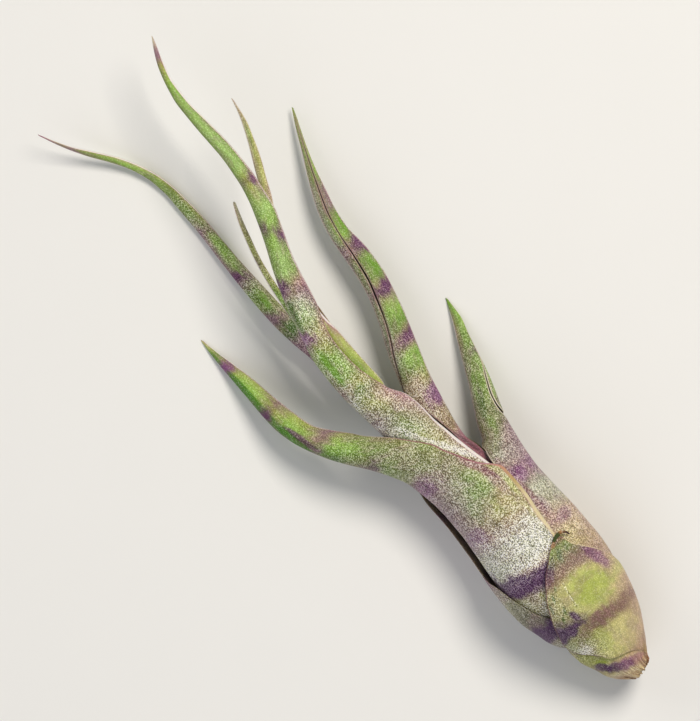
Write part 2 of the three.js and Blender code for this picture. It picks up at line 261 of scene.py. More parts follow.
# Smooth noise from -0.5 to 0.5 over a plane, one bump to a unit.
def softNoise(u, v, seed):
    cellU, cellV = np.floor(u).astype(int), np.floor(v).astype(int)
    partU, partV = ease(u - cellU), ease(v - cellV)

    def at(a, b):
        return lattice[(a + seedStep[0] * seed) % len(lattice), (b + seedStep[1] * seed) % len(lattice)]

    near = at(cellU, cellV) * (1 - partU) + at(cellU + 1, cellV) * partU
    far = at(cellU, cellV + 1) * (1 - partU) + at(cellU + 1, cellV + 1) * partU
    return near * (1 - partV) + far * partV - 0.5


# How finely every leaf is made, and how uneven it is.
fine = {
    "ringStep": 0.4,  # between sections along the leaf
    "lastRing": 0.5,  # from the last of these to the tip
    "tipRings": [[0.36, 0.86], [0.24, 0.66], [0.12, 0.38]],  # sections nearer the tip, and their size
    "acrossStep": 0.42,  # between points round a section
    "fewestAcross": 22,
    "mostWall": 0.55,  # of half the width, on a thin blade
    "mostEdge": 0.4,  # of the wall
    "marginEdge": 0.13,  # thickness at the very margin
    "marginRound": 0.12,  # distance over which the margin is rounded
    "roundOuter": 0.3,  # share of the wall taken off the outer face there
    "roundInner": 0.45,
    "thinning": 1.1,  # distance over which the wall thins towards the margin
    "claspLength": 0.1,  # part of a leaf that clasps what is under it, unless the leaf says so
    "claspThins": 0.6,  # share of the wall that a clasping leaf loses where it begins
    "claspSinks": 0.42,  # how far it lies in there
    "fullSize": 6,  # half width from which a leaf is as uneven as can be
    "leastUneven": 0.12,
    "veinDepth": 0.035,  # fine ribs that run along the leaf
    "veinWidth": 0.9,  # on a roll of the radius below
    "veinLength": 14,
    "veinRadius": 4.0,
    "swell": 0.16,  # slow unevenness of growth
    "swellLength": 9.0,
    "swellWidth": 6,
    "waver": 1.6,  # degrees by which a margin wanders
    "waverLength": 5.0,
    "waverEnds": 6,  # this far from the tip it begins to die out
    "innerAway": 40,  # keeps the pattern of the inner face apart from that of the outer one
}


# Points of one leaf: an array of rings, each running along the outer face from margin to margin and
# back along the inner one. With it come the values that its paint and its material need.
def leafRings(leaf):
    first, last, seed = leaf["span"][0][0], leaf["end"], leaf["seed"]
    count = int((last - first) / leaf.get("ringStep", fine["ringStep"])) + 1
    beforeTip, tipSize = np.array(fine["tipRings"]).T
    x = np.append(np.linspace(first, last - fine["lastRing"], count), last - beforeTip)
    upper, lower = along(leaf["span"], x, 1), along(leaf["span"], x, 2)
    halfWidth = (upper - lower) / 2
    halfHeight = halfWidth * along(leaf["height"], x, 2)
    middleY, middleZ = (upper + lower) / 2, along(leaf["height"], x, 1)
    waver = 2 * fine["waver"] * (1 - smoothStep(last - fine["waverEnds"], last, x))
    begin = along(leaf["margins"], x, 1) + waver * softNoise(x / fine["waverLength"], x * 0, seed)
    end = along(leaf["margins"], x, 2) + waver * softNoise(x / fine["waverLength"], x * 0, seed + 1)
    wraps = np.radians(end - begin)
    widest = np.max(wraps * (halfWidth + halfHeight) / 2)
    across = max(fine["fewestAcross"], int(widest / leaf.get("acrossStep", fine["acrossStep"])))
    even = np.linspace(0, 1, across)
    share = (even + (0.5 - 0.5 * np.cos(np.pi * even))) / 2  # closer points towards the margins
    angle = np.radians(begin[:, None] + (end - begin)[:, None] * share)
    grid = np.ones_like(angle)
    alongX, width, height = x[:, None] * grid, halfWidth[:, None] * grid, halfHeight[:, None] * grid
    # Distance along the leaf, and the line a vein follows, which keeps its place round the roll.
    steps = np.hypot(np.diff(x), np.hypot(np.diff(middleY), np.diff(middleZ)))
    travel = np.concatenate([[0], np.cumsum(steps)])[:, None] * grid
    around = fine["veinRadius"] * angle
    mean = (width + height) / 2
    toBegin = mean * wraps[:, None] * share
    toEnd = mean * wraps[:, None] * (1 - share)
    toMargin = np.minimum(toBegin, toEnd)
    fullWall = np.minimum(leaf["wall"], fine["mostWall"] * np.minimum(width, height))
    edge = np.minimum(fine["marginEdge"], fine["mostEdge"] * fullWall)
    wall = edge + (fullWall - edge) * (1 - np.exp(-toMargin / fine["thinning"]))
    atMargin = 1 - smoothStep(0, fine["marginRound"], toMargin)
    # The first part of a clasping leaf lies flat on what it clasps and thins out towards its edge.
    clasp = 1 - smoothStep(0, leaf.get("claspLength", fine["claspLength"]), alongX - first)
    wall = wall * (1 - fine["claspThins"] * clasp)
    sunk = clasp * (fullWall - wall + fine["claspSinks"])
    # Unevenness grows with the leaf's width, and dies out at the point.
    size = np.clip(width / fine["fullSize"], fine["leastUneven"], 1)
    veins = softNoise(around / fine["veinWidth"], travel / fine["veinLength"], seed + 2)
    swell = softNoise(travel / fine["swellLength"], around / fine["swellWidth"], seed + 3)
    swell = swell * leaf.get("uneven", 1)
    lift = size * (2 * fine["veinDepth"] * veins + 2 * fine["swell"] * swell)
    sunk = sunk - np.minimum(lift, fine["veinDepth"])
    sideways, upwards = np.sin(angle), np.cos(angle)

    def face(less):
        y = middleY[:, None] + (width - less) * sideways
        z = middleZ[:, None] + (height - less) * upwards
        return np.stack([alongX, y, z], -1)

    outer = face(sunk + atMargin * fine["roundOuter"] * wall)
    inner = face(sunk + wall * (1 - fine["roundInner"] * atMargin))
    points = np.concatenate([outer, inner[:, ::-1]], 1)
    middle = points.mean(1, keepdims=True)
    shrink = np.ones((len(x), 1, 1))
    shrink[-len(tipSize):, 0, 0] = tipSize
    points = middle + (points - middle) * shrink

    def both(outside, inside=None):
        return np.concatenate([outside, (outside if inside is None else inside)[:, ::-1]], 1)

    facts = {
        "x": both(alongX), "side": both(sideways), "up": both(upwards, -upwards),
        "outside": both(grid, grid * 0), "travel": both(travel),
        "around": both(around, around + fine["innerAway"]),
        "toBegin": both(toBegin), "toEnd": both(toEnd),
        "toLower": both(width * (1 + sideways)), "toUpper": both(width * (1 - sideways)),
    }
    return points, facts, across


def meshFromRings(name, points, tip, cap):
    rings, count = points.shape[:2]
    corners = np.concatenate([points.reshape(-1, 3), [tip]]) * mm
    ringStart = np.arange(rings - 1)[:, None] * count
    here = (ringStart + np.arange(count)).ravel()
    beside = (ringStart + (np.arange(count) + 1) % count).ravel()
    faces = np.stack([here, here + count, beside + count, beside], 1).tolist()
    lastRing = (rings - 1) * count
    faces += [[lastRing + i, len(corners) - 1, lastRing + (i + 1) % count] for i in range(count)]
    faces += cap
    mesh = bpy.data.meshes.new(name)
    mesh.from_pydata(corners.tolist(), [], faces)
    mesh.validate()
    mesh.polygons.foreach_set("use_smooth", [True] * len(mesh.polygons))
    mesh.update()
    piece = bpy.data.objects.new(name, mesh)
    bpy.context.scene.collection.objects.link(piece)
    return piece


# Writes one value, place or colour for each point of a mesh, and the last one again for the tip.
def storeOnPoints(piece, name, values, kind="FLOAT"):
    field = {"FLOAT": "value", "FLOAT_VECTOR": "vector", "FLOAT_COLOR": "color"}[kind]
    if kind == "FLOAT_COLOR":
        values = np.concatenate([values, np.ones_like(values[..., :1])], -1)
    flat = values.reshape(-1, 1 if kind == "FLOAT" else values.shape[-1])
    flat = np.concatenate([flat, flat[-1:]])
    layer = piece.data.attributes.new(name, kind, "POINT")
    layer.data.foreach_set(field, flat.astype(np.float32).ravel())


# How the leaf colours are laid on. A pair of bumps is a length along the leaf and one across it.
paint = {
    "groundRagged": 1.2,
    "groundBumps": (1.6, 1.1),
    "bandRagged": 1.5,
    "bandBumps": (2.0, 0.8),
    "bandSoft": 1.45,  # how far a band fades on both sides of each end
    "patchRagged": 0.35,
    "patchBumps": (0.7, 0.6),
    "patchFade": (0.55, 1.15),  # shares of its half size
    "purples": ("violet", "plum", "orchid", "mauve", "rose"),  # patches of these keep a band's purple
    "topFade": (-0.25, 0),  # patches end where the outer face turns down
    # Painted shade beyond a fold: how sharply it begins, how much of each colour it takes and how many
    # white scales it hides.
    "foldFade": (-0.05, 0.07),
    "foldPaintedShade": (0.72, 0.5, 0.8),  # what the green loses in red, green and blue
    "foldBare": 0.6,
    "inside": 0.5,  # share of the inner tint on the inner face
    "insideBloom": 0.12,
    "marginFade": (0.5, 1.1),  # shares of the margin's width
    "marginAtTip": 0.3,
    "tipFade": 3,
    # Painted highlight along the outline: how it fades and where it shows, and how it turns to denser
    # scales on a wide blade.
    "lineFade": (0.6, 1.3),  # shares of the line's width
    "lineFrom": (0.005, 0.04),  # width at which a line begins to show
    "thinnestLine": 0.001,
    "lineTop": (-0.25, 0.05),
    "lineStrength": 0.9,
    "wide": (1.8, 3.4),  # blade widths between which the line turns to denser scales
    "wideBloom": 0.95,
    "wideLess": 0.42,
}


# Colour of the tissue, amount of purple and of white scales, and the margins at every point of a leaf.
def paintLeaf(piece, leaf, points, facts):
    x, y, side = facts["x"], points[..., 1], facts["side"]
    outside, around, seed = facts["outside"], facts["around"], leaf["seed"]

    def bumps(name, other, seedMore):
        length, width = paint[name]
        return softNoise(x / length, other / width, seed + seedMore)

    ragged = x + paint["groundRagged"] * bumps("groundBumps", around, 4)
    ground = acrossLeaf(*[tintAlong(leaf["ground"], ragged, k) for k in (1, 2, 3)], side[..., None])
    purple = np.zeros_like(x)
    bandTint = np.zeros(x.shape + (3,)) + toLinear(tints["violet"])
    wandering = paint["bandRagged"] * bumps("bandBumps", around, 5)
    for start, stop, lean, name, *strengths in leaf["bands"]:
        place = x - lean * side / 2 + wandering
        starts, stops = [smoothStep(end - paint["bandSoft"], end + paint["bandSoft"], place)
                         for end in (start, stop)]
        upper, middle, lower = [column([strengths], k)[0] for k in (0, 1, 2)]
        amount = starts * (1 - stops) * acrossLeaf(upper, middle, lower, side)
        bandTint[amount > purple] = toLinear(tints[name])
        purple = np.maximum(purple, amount)
    bloom = acrossLeaf(*[along(leaf["bloom"], x, k) for k in (1, 2, 3)], side)
    wobble = paint["patchRagged"] * bumps("patchBumps", y, 6)
    facesUp = smoothStep(*paint["topFade"], facts["up"]) * outside
    for atX, atY, length, width, turn, name, strength in leaf.get("patches", []):
        cosine, sine = math.cos(math.radians(turn)), math.sin(math.radians(turn))
        lengthways = ((x - atX) * cosine + (y - atY) * sine) / length
        sideways = ((y - atY) * cosine - (x - atX) * sine) / width
        away = np.hypot(lengthways, sideways) + wobble
        amount = (1 - smoothStep(*paint["patchFade"], away)) * strength * facesUp
        if name == "white":
            bloom = bloom + amount
            continue
        if name == "bare":
            bloom = bloom * (1 - amount)
        else:
            ground += amount[..., None] * (np.array(toLinear(tints[name])) - ground)
        if name not in paint["purples"]:
            purple = purple * (1 - amount)
    # Beyond a fold the leaf turns away sharply from the light: painted shade darkens its green there and
    # thins its white scales.
    if "shadeBeyondFold" in leaf:
        beyond = side - along(leaf["shadeBeyondFold"], x, 1)
        paintedFoldShade = smoothStep(*paint["foldFade"], beyond) * along(leaf["shadeBeyondFold"], x, 2) * outside
        ground = ground * (1 - paintedFoldShade[..., None] * np.array(paint["foldPaintedShade"]))
        bloom = bloom * (1 - paint["foldBare"] * np.clip(paintedFoldShade, 0, 1))
    inner = np.array(toLinear(tints[leaf.get("inner", "leek")])) * paint["inside"]
    ground = np.where(outside[..., None] > 0.5, ground, ground * (1 - paint["inside"]) + inner)
    bloom = np.where(outside > 0.5, bloom, paint["insideBloom"])
    # Thin clear margins, as wide as the leaf says.
    widths = leaf.get("marginWidth", [[0, 0.3]])
    begins, ends = [1 - smoothStep(*paint["marginFade"], facts[away] / along(widths, x, k))
                    for k, away in ((1, "toBegin"), (2, "toEnd"))]
    beforeTip = smoothStep(leaf["end"], leaf["end"] - paint["tipFade"], x)
    margin = np.maximum(begins, ends) * (paint["marginAtTip"] + (1 - paint["marginAtTip"]) * beforeTip)
    margin = margin * along(leaf.get("marginShow", [[0, 1]]), x, 1)
    tones = [tintAlong(leaf.get("marginTone", [[0, "rim"]]), x, k) for k in (1, 2)]
    marginTone = np.where((facts["toBegin"] < facts["toEnd"])[..., None], *tones)
    # Painted highlight along the two edges of the outline, where they would catch the light: drawn as
    # denser scales on a wide leaf, and as the bright clear margin itself only on a thin blade.
    if "edgeHighlight" in leaf:
        lines = []
        for k, away in ((1, "toLower"), (2, "toUpper")):
            width = np.maximum(along(leaf["edgeHighlight"], x, k), paint["thinnestLine"])
            shows = smoothStep(*paint["lineFrom"], width)
            lines.append((1 - smoothStep(*paint["lineFade"], facts[away] / width)) * shows)
        paintedHighlight = np.maximum(*lines) * paint["lineStrength"] * beforeTip
        paintedHighlight = paintedHighlight * smoothStep(*paint["lineTop"], facts["up"]) * outside
        wide = smoothStep(*paint["wide"], facts["toLower"] + facts["toUpper"])
        bloom = np.maximum(bloom, paint["wideBloom"] * paintedHighlight * wide)
        paintedHighlight = paintedHighlight * (1 - paint["wideLess"] * wide)
        marginTone = np.where((paintedHighlight > margin)[..., None], toLinear(tints["edge"]), marginTone)
        margin = np.maximum(margin, paintedHighlight)
    dryness = along(leaf.get("dryness", [[0, 0]]), x, 1)
    for name, values in (("ground", ground), ("bandTint", bandTint), ("marginTone", marginTone)):
        storeOnPoints(piece, name, values, "FLOAT_COLOR")
    for name, values in (("purple", purple), ("bloom", bloom), ("margin", margin), ("dryness", dryness)):
        storeOnPoints(piece, name, np.clip(values, 0, 1))
    skinPlace = np.stack([facts["travel"], around, np.zeros_like(x) + seed * 10], -1)
    storeOnPoints(piece, "skinPlace", skinPlace, "FLOAT_VECTOR")


# Living leaf: thin green tissue with purple pigment in bands, under water-drinking white scales.
# The scales give the eye its silver grain, and the wax under them a soft, broken shine.
leafSkin = {
    # what paintLeaf stores, and the output that gives it
    "stored": {
        "ground": "Color", "bandTint": "Color", "marginTone": "Color", "skinPlace": "Vector",
        "purple": "Fac", "bloom": "Fac", "margin": "Fac", "dryness": "Fac"},
    # pattern: where it lies, size in mm, detail, stretch along and round the leaf. The rows and cells
    # are drawn coarser than the real ones, which would not show.
    "patterns": {
        "mottle": ("body", 2.0, 3.0, (1, 1, 1)),
        "cellRows": ("leaf", 1.0, 2.0, (0.35, 2.6, 1)),
        "cells": ("leaf", 0.42, 2.0, (0.8, 1.3, 1)),
        "flushes": ("leaf", 3.2, 2.0, (1, 1.6, 1)),
        "strings": ("leaf", 0.34, 3.0, (0.16, 1, 1)),
        "scales": ("body", 0.235, 1.0, (1, 1, 1))},
    "patternRoughness": 0.6,
    "tints": {
        "flush": "#9A7478", "string": "#FFF6EA", "between": "#A88468", "scale": "#F8F5E8",
        "marginLine": "#A8687A"},
    # ramps: where they start and stop, and what they give there
    "mottleShade": (0.3, 0.7, 0.82, 1.16),
    "cellShade": (0.3, 0.7, 0.9, 1.08),
    "flushAmount": (0.46, 0.66, 0, 0.3),
    "pigmentAmount": (0.05, 0.9, 0, 1),
    "stringAmount": (0.34, 0.62, 0, 1),
    "mottleBloom": (0.3, 0.7, 0.75, 1.2),
    "scaleEdge": (-0.04, 0.06, 0, 1),
    # Painted shade in the gaps between the scales, and how much of it there is where the bloom is dense.
    "gapPaintedShade": (0.34, 0.52, 0.4, 1),
    "gapAmount": (0.02, 0.35, 0.2, 1),
    "scaleGlow": (0.02, 0.5, 0.2, 0.65),
    "scaleWhite": (0.08, 0.7, 0.18, 0.64),
    "denseWhite": (0.55, 1, 0, 0.3),
    "marginLineAmount": (0.05, 0.45, 0, 0.4),
    "marginAmount": (0.4, 0.8, 0, 0.85),
    "unevenShares": (0.5, 0.5),  # of the mottle and of the cell rows
    "looseShares": (0.6, 0.7),  # of the cell rows and of the cells
    "looseMiddle": 0.65,
    "pigmentGrain": 0.8,
    "pigmentDepth": 0.94,
    "pigmentHides": 0.6,  # share of the white scales that is lost over full purple
    "scaleLevel": 0.6,  # of the grain above which there is a scale
    "bloomLowers": 0.13,
    "relief": 0.05,  # mm
    "reliefStrength": 0.7,
    "cellRelief": 0.8,
    "roughness": 0.55,
    "scaleRoughness": 0.3,
    "ior": 1.42,
    "shine": 0.32,
    "sheen": 0.05,
    "sheenRoughness": 0.5,
    "glow": 0.25,  # light that passes through the tissue
    "glowReach": (0.9, 0.9, 0.35),  # mm
}


def makeLeafSkin():
    material, tree = newMaterial("livingLeafUnderScales")
    node, skin = partial(addNode, tree), leafSkin
    stored = {name: node("Attribute", (), {"attribute_type": "GEOMETRY", "attribute_name": name}, output)
              for name, output in skin["stored"].items()}
    tint = {name: (*toLinear(code), 1) for name, code in skin["tints"].items()}
    inBody = node("TexCoord", output="Object")
    inBody = node("Mapping", {"Vector": inBody, "Scale": (1 / mm, 1 / mm, 1 / mm)})
    places = {"body": inBody, "leaf": stored["skinPlace"]}
    pattern = {}
    for name, (where, size, detail, stretch) in skin["patterns"].items():
        scaled = node("Mapping", {"Vector": places[where], "Scale": [s / size for s in stretch]})
        pattern[name] = node("TexNoise", {
            "Vector": scaled, "Scale": 1.0, "Detail": detail, "Roughness": skin["patternRoughness"]})

    # Mottling of the tissue: soft patches 2 mm wide, rows of cells along the leaf, and single cells.
    mottleShare, rowShare = skin["unevenShares"]
    uneven = node("Math", (pattern["cellRows"], rowShare), times)
    uneven = node("Math", (pattern["mottle"], mottleShare, uneven), timesPlus)
    mottleShade = node("MapRange", (uneven, *skin["mottleShade"]), eased)
    cellShade = node("MapRange", (pattern["cells"], *skin["cellShade"]), eased)
    brightness = node("Math", (mottleShade, cellShade), times)
    rowShare, cellShare = skin["looseShares"]
    loose = node("Math", (pattern["cells"], cellShare), times)
    loose = node("Math", (pattern["cellRows"], rowShare, loose), timesPlus)
    centred = node("Math", (loose, skin["looseMiddle"]), minus)
    pigment = node("Math", (centred, skin["pigmentGrain"], stored["purple"]), timesPlus)
    pigment = node("MapRange", (pigment, *skin["pigmentAmount"]), eased)
    flush = node("MapRange", (pattern["flushes"], *skin["flushAmount"]), eased)
    tissue = node("Mix", {0: flush, 6: stored["ground"], 7: tint["flush"]}, colours, 2)
    depth = node("Math", (pigment, skin["pigmentDepth"]), times)
    tissue = node("Mix", {0: depth, 6: tissue, 7: stored["bandTint"]}, colours, 2)
    tissue = node("Mix", {0: 1.0, 6: tissue, 7: brightness}, filtered, 2)
    # Where it has dried the tissue is stringy, with brown between the pale strings.
    strings = node("MapRange", (pattern["strings"], *skin["stringAmount"]), eased)
    strings = node("Mix", {0: strings, 6: tint["between"], 7: tint["string"]}, colours, 2)
    tissue = node("Mix", {0: stored["dryness"], 6: tissue, 7: strings}, filtered, 2)
    # White scales: a grain of small specks, more of them and whiter where the bloom is dense, with painted
    # shade darkening the tissue between them and painted light caught over the green. Bare parts are nearly
    # smooth.
    mottleBloom = node("MapRange", (pattern["mottle"], *skin["mottleBloom"]), eased)
    dusted = node("Math", (stored["bloom"], mottleBloom), times)
    level = node("Math", (dusted, -skin["bloomLowers"], skin["scaleLevel"]), timesPlus)
    scales = node("Math", (pattern["scales"], level), minus)
    scales = node("MapRange", (scales, *skin["scaleEdge"]), eased)
    paintedGapShade = node("MapRange", (pattern["scales"], *skin["gapPaintedShade"]), eased)
    gapAmount = node("MapRange", (dusted, *skin["gapAmount"]), eased)
    tissue = node("Mix", {0: gapAmount, 6: tissue, 7: paintedGapShade}, filtered, 2)
    glow = node("MapRange", (dusted, *skin["scaleGlow"]), eased)
    glow = node("Math", (scales, glow, 1.0), timesPlus)
    tissue = node("Mix", {0: 1.0, 6: tissue, 7: glow}, filtered, 2)
    whiteness = node("MapRange", (dusted, *skin["scaleWhite"]), eased)
    denser = node("MapRange", (dusted, *skin["denseWhite"]), eased)
    whiteness = node("Math", (whiteness, denser), plus)
    shown = node("Math", (pigment, -skin["pigmentHides"], 1.0), timesPlus)
    white = node("Math", (scales, whiteness), times)
    white = node("Math", (white, shown), times)
    scaled = node("Mix", {0: white, 6: tissue, 7: tint["scale"]}, colours, 2)
    # The clear margin, with a thin, faint rose line along its inner side.
    line = node("MapRange", (stored["margin"], *skin["marginLineAmount"]), eased)
    lined = node("Mix", {0: line, 6: scaled, 7: tint["marginLine"]}, colours, 2)
    rim = node("MapRange", (stored["margin"], *skin["marginAmount"]), eased)
    rimmed = node("Mix", {0: rim, 6: lined, 7: stored["marginTone"]}, colours, 2)
    height = node("Math", (loose, skin["cellRelief"], scales), timesPlus)
    bump = node("Bump", {
        "Height": height, "Strength": skin["reliefStrength"], "Distance": skin["relief"] * mm})
    rough = node("Math", (white, skin["scaleRoughness"], skin["roughness"]), timesPlus)
    surface = node("BsdfPrincipled", {
        "Base Color": rimmed, "Roughness": rough, "IOR": skin["ior"], "Normal": bump,
        "Specular IOR Level": skin["shine"], "Subsurface Weight": skin["glow"],
        "Subsurface Radius": skin["glowReach"], "Subsurface Scale": 1.0 * mm,
        "Sheen Weight": skin["sheen"], "Sheen Roughness": skin["sheenRoughness"]})
    node("OutputMaterial", {"Surface": surface})
    return material


leafSkinMaterial = makeLeafSkin()
print("material of the leaves is ready")

# Ragged, torn first edge of a dry scale.
tear = {
    "bumps": ((0.9, 1, 7), (0.3, 0.5, 8)),  # size, share of the depth, added to the seed
    "furthest": -1.7,  # y at which the rim stands furthest out, and from where it slants away
    "slants": ((0.28, 0.65), (0.085, 1.3)),  # on the +y and the -y side: steepness, greatest depth
    "forward": 0.4,
    "fades": 4,  # times the depth of the tear
}


def tearBase(points, facts, leaf):
    near = 1 - smoothStep(0, tear["fades"] * leaf["torn"], facts["travel"])
    around = facts["around"]
    bite = sum(share * softNoise(around / size, around * 0, leaf["seed"] + more)
               for size, share, more in tear["bumps"])
    beside = points[..., 1] - tear["furthest"]
    slants = [np.minimum(steep * beside ** 2, most) for steep, most in tear["slants"]]
    slant = np.where(beside > 0, *slants)
    torn = points.copy()
    torn[..., 0] += near * (slant - tear["forward"] + leaf["torn"] * bite)
    return torn


def finishPiece(piece, node, material):
    piece.data.materials.append(material)
    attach(piece, "root")
    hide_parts(node)
    print(node, "made with", len(piece.data.polygons), "faces")


def makeLeaf(node, leaf):
    points, facts, across = leafRings(leaf)
    tip = points[-1].mean(0)
    tip[0] = leaf["end"]
    count = 2 * across
    cap = [[i, i + 1, count - 2 - i, count - 1 - i] for i in range(across - 1)]
    if "torn" in leaf:
        points = tearBase(points, facts, leaf)
    piece = meshFromRings(node + "_skin", points, tip, cap)
    paintLeaf(piece, leaf, points, facts)
    finishPiece(piece, node, leafSkinMaterial)


# The leaves, from the outside of the bulb inwards. The rows of a list run along the leaf, and each
# starts with x. In a short row the last entry stands for those that are missing. After x come:
# span: y of the upper and of the lower edge seen from above
# height: z of the middle, and half the height as a share of half the width
# margins: the degrees between which the leaf wraps its middle line, 0 at the top and 90 at +y
# marginWidth, marginTone: of the clear margins at the first and at the second of these
# marginShow: how much of both is seen
# edgeHighlight: width of the painted highlight along the lower and along the upper edge
# shadeBeyondFold: where the leaf turns away, from -1 at the lower edge to 1 at the upper one, and how dark
# the painted shade beyond it gets
# dryness: how far the tissue has dried
# ground: tint of the tissue at the upper edge, in the middle and at the lower edge
# bloom: denseness of the white scales at the same three
# A band is where it starts and stops, its lean, tint and its strength at the same three. A patch is
# x, y, half its length and width, its turn in degrees, its tint, or white or bare, and its strength.
# Besides these, wall is the thickness, end the x of the tip, torn the depth of the tear where the leaf
# begins, uneven the share of the swell, inner the tint of the inner face, and seed picks the noise.
basalCollar = {
    "wall": 0.42, "end": -63.7, "seed": 1, "ringStep": 0.2, "acrossStep": 0.2,
    "torn": 0.8, "uneven": 0.5, "inner": "tan",
    "span": [
        [-75.4, -0.2, -5.6], [-74, 1.5, -6], [-72, 2.9, -6.9], [-70, 3.65, -7.4], [-67, 4.95, -8.9],
        [-64, 5.35, -9.9],
    ],
    "height": [[-75.4, 8.6, 1], [-72, 8.9, 1], [-70, 9, 1], [-67, 9.4, 1], [-64, 9.8, 1]],
    "margins": [
        [-75.4, -171, 171], [-69.5, -171, 171], [-67.8, -60, 165], [-66.2, 10, 140], [-64.8, 55, 118],
        [-64, 78, 102],
    ],
    "marginShow": [[0, 0.3]],
    "dryness": [[-76, 1], [-74.6, 0.9], [-73.2, 0.55], [-71.8, 0.3], [-70.5, 0.1], [-69, 0]],
    "ground": [
        [-76, "rust", "cream", "rust"], [-75.2, "buff", "cream", "rust"], [-74.2, "buff", "cream", "buff"],
        [-73, "cream", "cream", "buff"], [-71.8, "straw", "buff", "gold"], [-70, "olive", "lime", "gold"],
        [-67, "olive", "lime", "tan"], [-64, "olive", "lime", "tan"],
    ],
    "bloom": [[-76, 0.02], [-74.5, 0.02], [-72, 0.1, 0.05], [-68, 0.25, 0.15], [-64, 0.45, 0.4, 0.3]],
    "bands": [[-73.4, -71.6, 2.2, "violet", 0.35, 0.3, 0.1], [-68.5, -66.8, 1, "dusk", 0.25, 0.1, 0]],
    "patches": [
        [-69.3, 1.9, 1.5, 0.5, 50, "citron", 0.8], [-73.4, 0.2, 1.6, 0.5, 62, "cream", 0.6],
        [-73.4, -5.5, 1.6, 0.7, -50, "rust", 0.6], [-73, -3.6, 2, 1.1, 84, "rose", 0.65],
        [-72.5, -1.4, 1.9, 1.2, 76, "orchid", 0.8], [-71.7, 0.5, 1.9, 1.2, 64, "violet", 0.8],
        [-70.4, 2.2, 2, 1, 46, "violet", 0.9],
    ],
}

basalScale = {
    "wall": 0.42, "end": -45.75, "seed": 2, "claspLength": 5, "uneven": 0.5, "inner": "tan",
    "span": [
        [-73.4, 1.9, -6.85], [-71.4, 3.4, -7.85], [-70, 4, -8.4], [-66, 5.1, -10.5], [-62, 6.2, -11.9],
        [-58, 8, -12.8], [-54, 8.95, -13.3], [-50, 9.25, -13.45], [-46, 9.1, -13.4],
    ],
    "height": [
        [-73.4, 9.1, 1], [-71.4, 9.35, 1], [-66, 10.3, 1], [-62, 10.8, 1], [-58, 11.15, 1], [-50, 11.4, 1],
        [-46, 11.35, 1],
    ],
    "margins": [
        [-73.4, -122, -62], [-71.4, -124, -22], [-70, -130, 20], [-68.4, -142, 32], [-65.3, -142, 62],
        [-64, -136, 73], [-62.5, -126, 68], [-59.7, -108, 49], [-57, -84, 37], [-53, -59, 22],
        [-49.8, -41, 8], [-48.5, -34.5, 0], [-47.3, -31.5, -7], [-46.2, -29, -14.5],
    ],
    # The dark tone of the second margin is a painted shadow line along it.
    "marginTone": [[0, "amber", "ink"]],
    "marginShow": [[-73.4, 0], [-70, 0], [-69, 0.5], [-67, 1]],
    "dryness": [[-73.4, 0.9], [-71.8, 0.5], [-70.2, 0.15], [-68.5, 0]],
    "ground": [
        [-73.4, "buff", "buff", "gold"], [-71.4, "buff"], [-69.8, "straw", "straw", "buff"],
        [-66, "sage", "straw", "buff"], [-63.5, "moss", "olive", "buff"], [-60, "moss", "straw", "buff"],
        [-58, "stone", "straw"], [-54, "stone", "straw", "buff"], [-51.5, "stone", "tan", "mauve"],
        [-49, "umber", "moss"], [-47, "moss", "leek", "moss"], [-45.9, "brown"],
    ],
    "bloom": [
        [-73.4, 0.05, 0.02], [-70, 0.35, 0.08, 0.03], [-66, 0.7, 0.1, 0.05], [-62, 0.45, 0.15],
        [-60, 0.5, 0.15, 0.12], [-56, 0.55, 0.05, 0.2], [-52, 0.4, 0.25], [-49, 0.3, 0.3, 0.35],
        [-46.5, 0.3],
    ],
    "bands": [
        [-62.4, -59.4, 1.2, "violet", 1.7, 0.3, 0], [-64.2, -60.6, 1.8, "dusk", 0.1, 0.85, 0.55],
        [-52.8, -49.6, 0.6, "dusk", 0.7, 0.5, 0.3],
    ],
    "patches": [
        [-57, -5.8, 4.4, 4.8, 0, "lime", 1], [-56.6, -4.8, 3.1, 3.2, 0, "citron", 0.3],
        [-57, -5.8, 4.4, 4.6, 0, "bare", 0.8], [-53.5, -10.4, 3.9, 1.25, 14, "orchid", 0.75],
        [-50.2, -1.2, 2.6, 1.1, -50, "violet", 0.85], [-59.2, 0.1, 1.3, 0.9, 20, "violet", 0.9],
        [-66.5, 2.6, 2.6, 1.6, 8, "white", 0.35], [-56, 1.6, 3.2, 1.5, -6, "white", 0.15],
        [-55.6, -1.7, 3.3, 0.16, -7.5, "white", 0.6], [-57.4, 1, 1.1, 0.3, -20, "deep", 0.9],
        [-55.6, 2.7, 1.1, 0.3, -12, "deep", 0.9], [-58.5, 2.2, 0.9, 0.28, -20, "deep", 0.8],
        [-54.3, 1.2, 0.9, 0.25, -20, "deep", 0.8], [-52.9, -0.4, 0.7, 0.25, -30, "deep", 0.7],
        [-48.7, -5, 1.3, 0.8, -30, "deep", 0.8], [-49, -2.8, 1.2, 0.8, -40, "umber", 0.6],
        [-48.2, -7, 0.8, 0.5, -30, "deep", 0.6], [-66.5, -5.5, 3, 3.4, 0, "straw", 0.4],
        [-66.5, -1.2, 2.4, 2, 0, "lime", 0.5], [-46.5, -5.3, 0.7, 0.5, -50, "rust", 0.8],
    ],
}

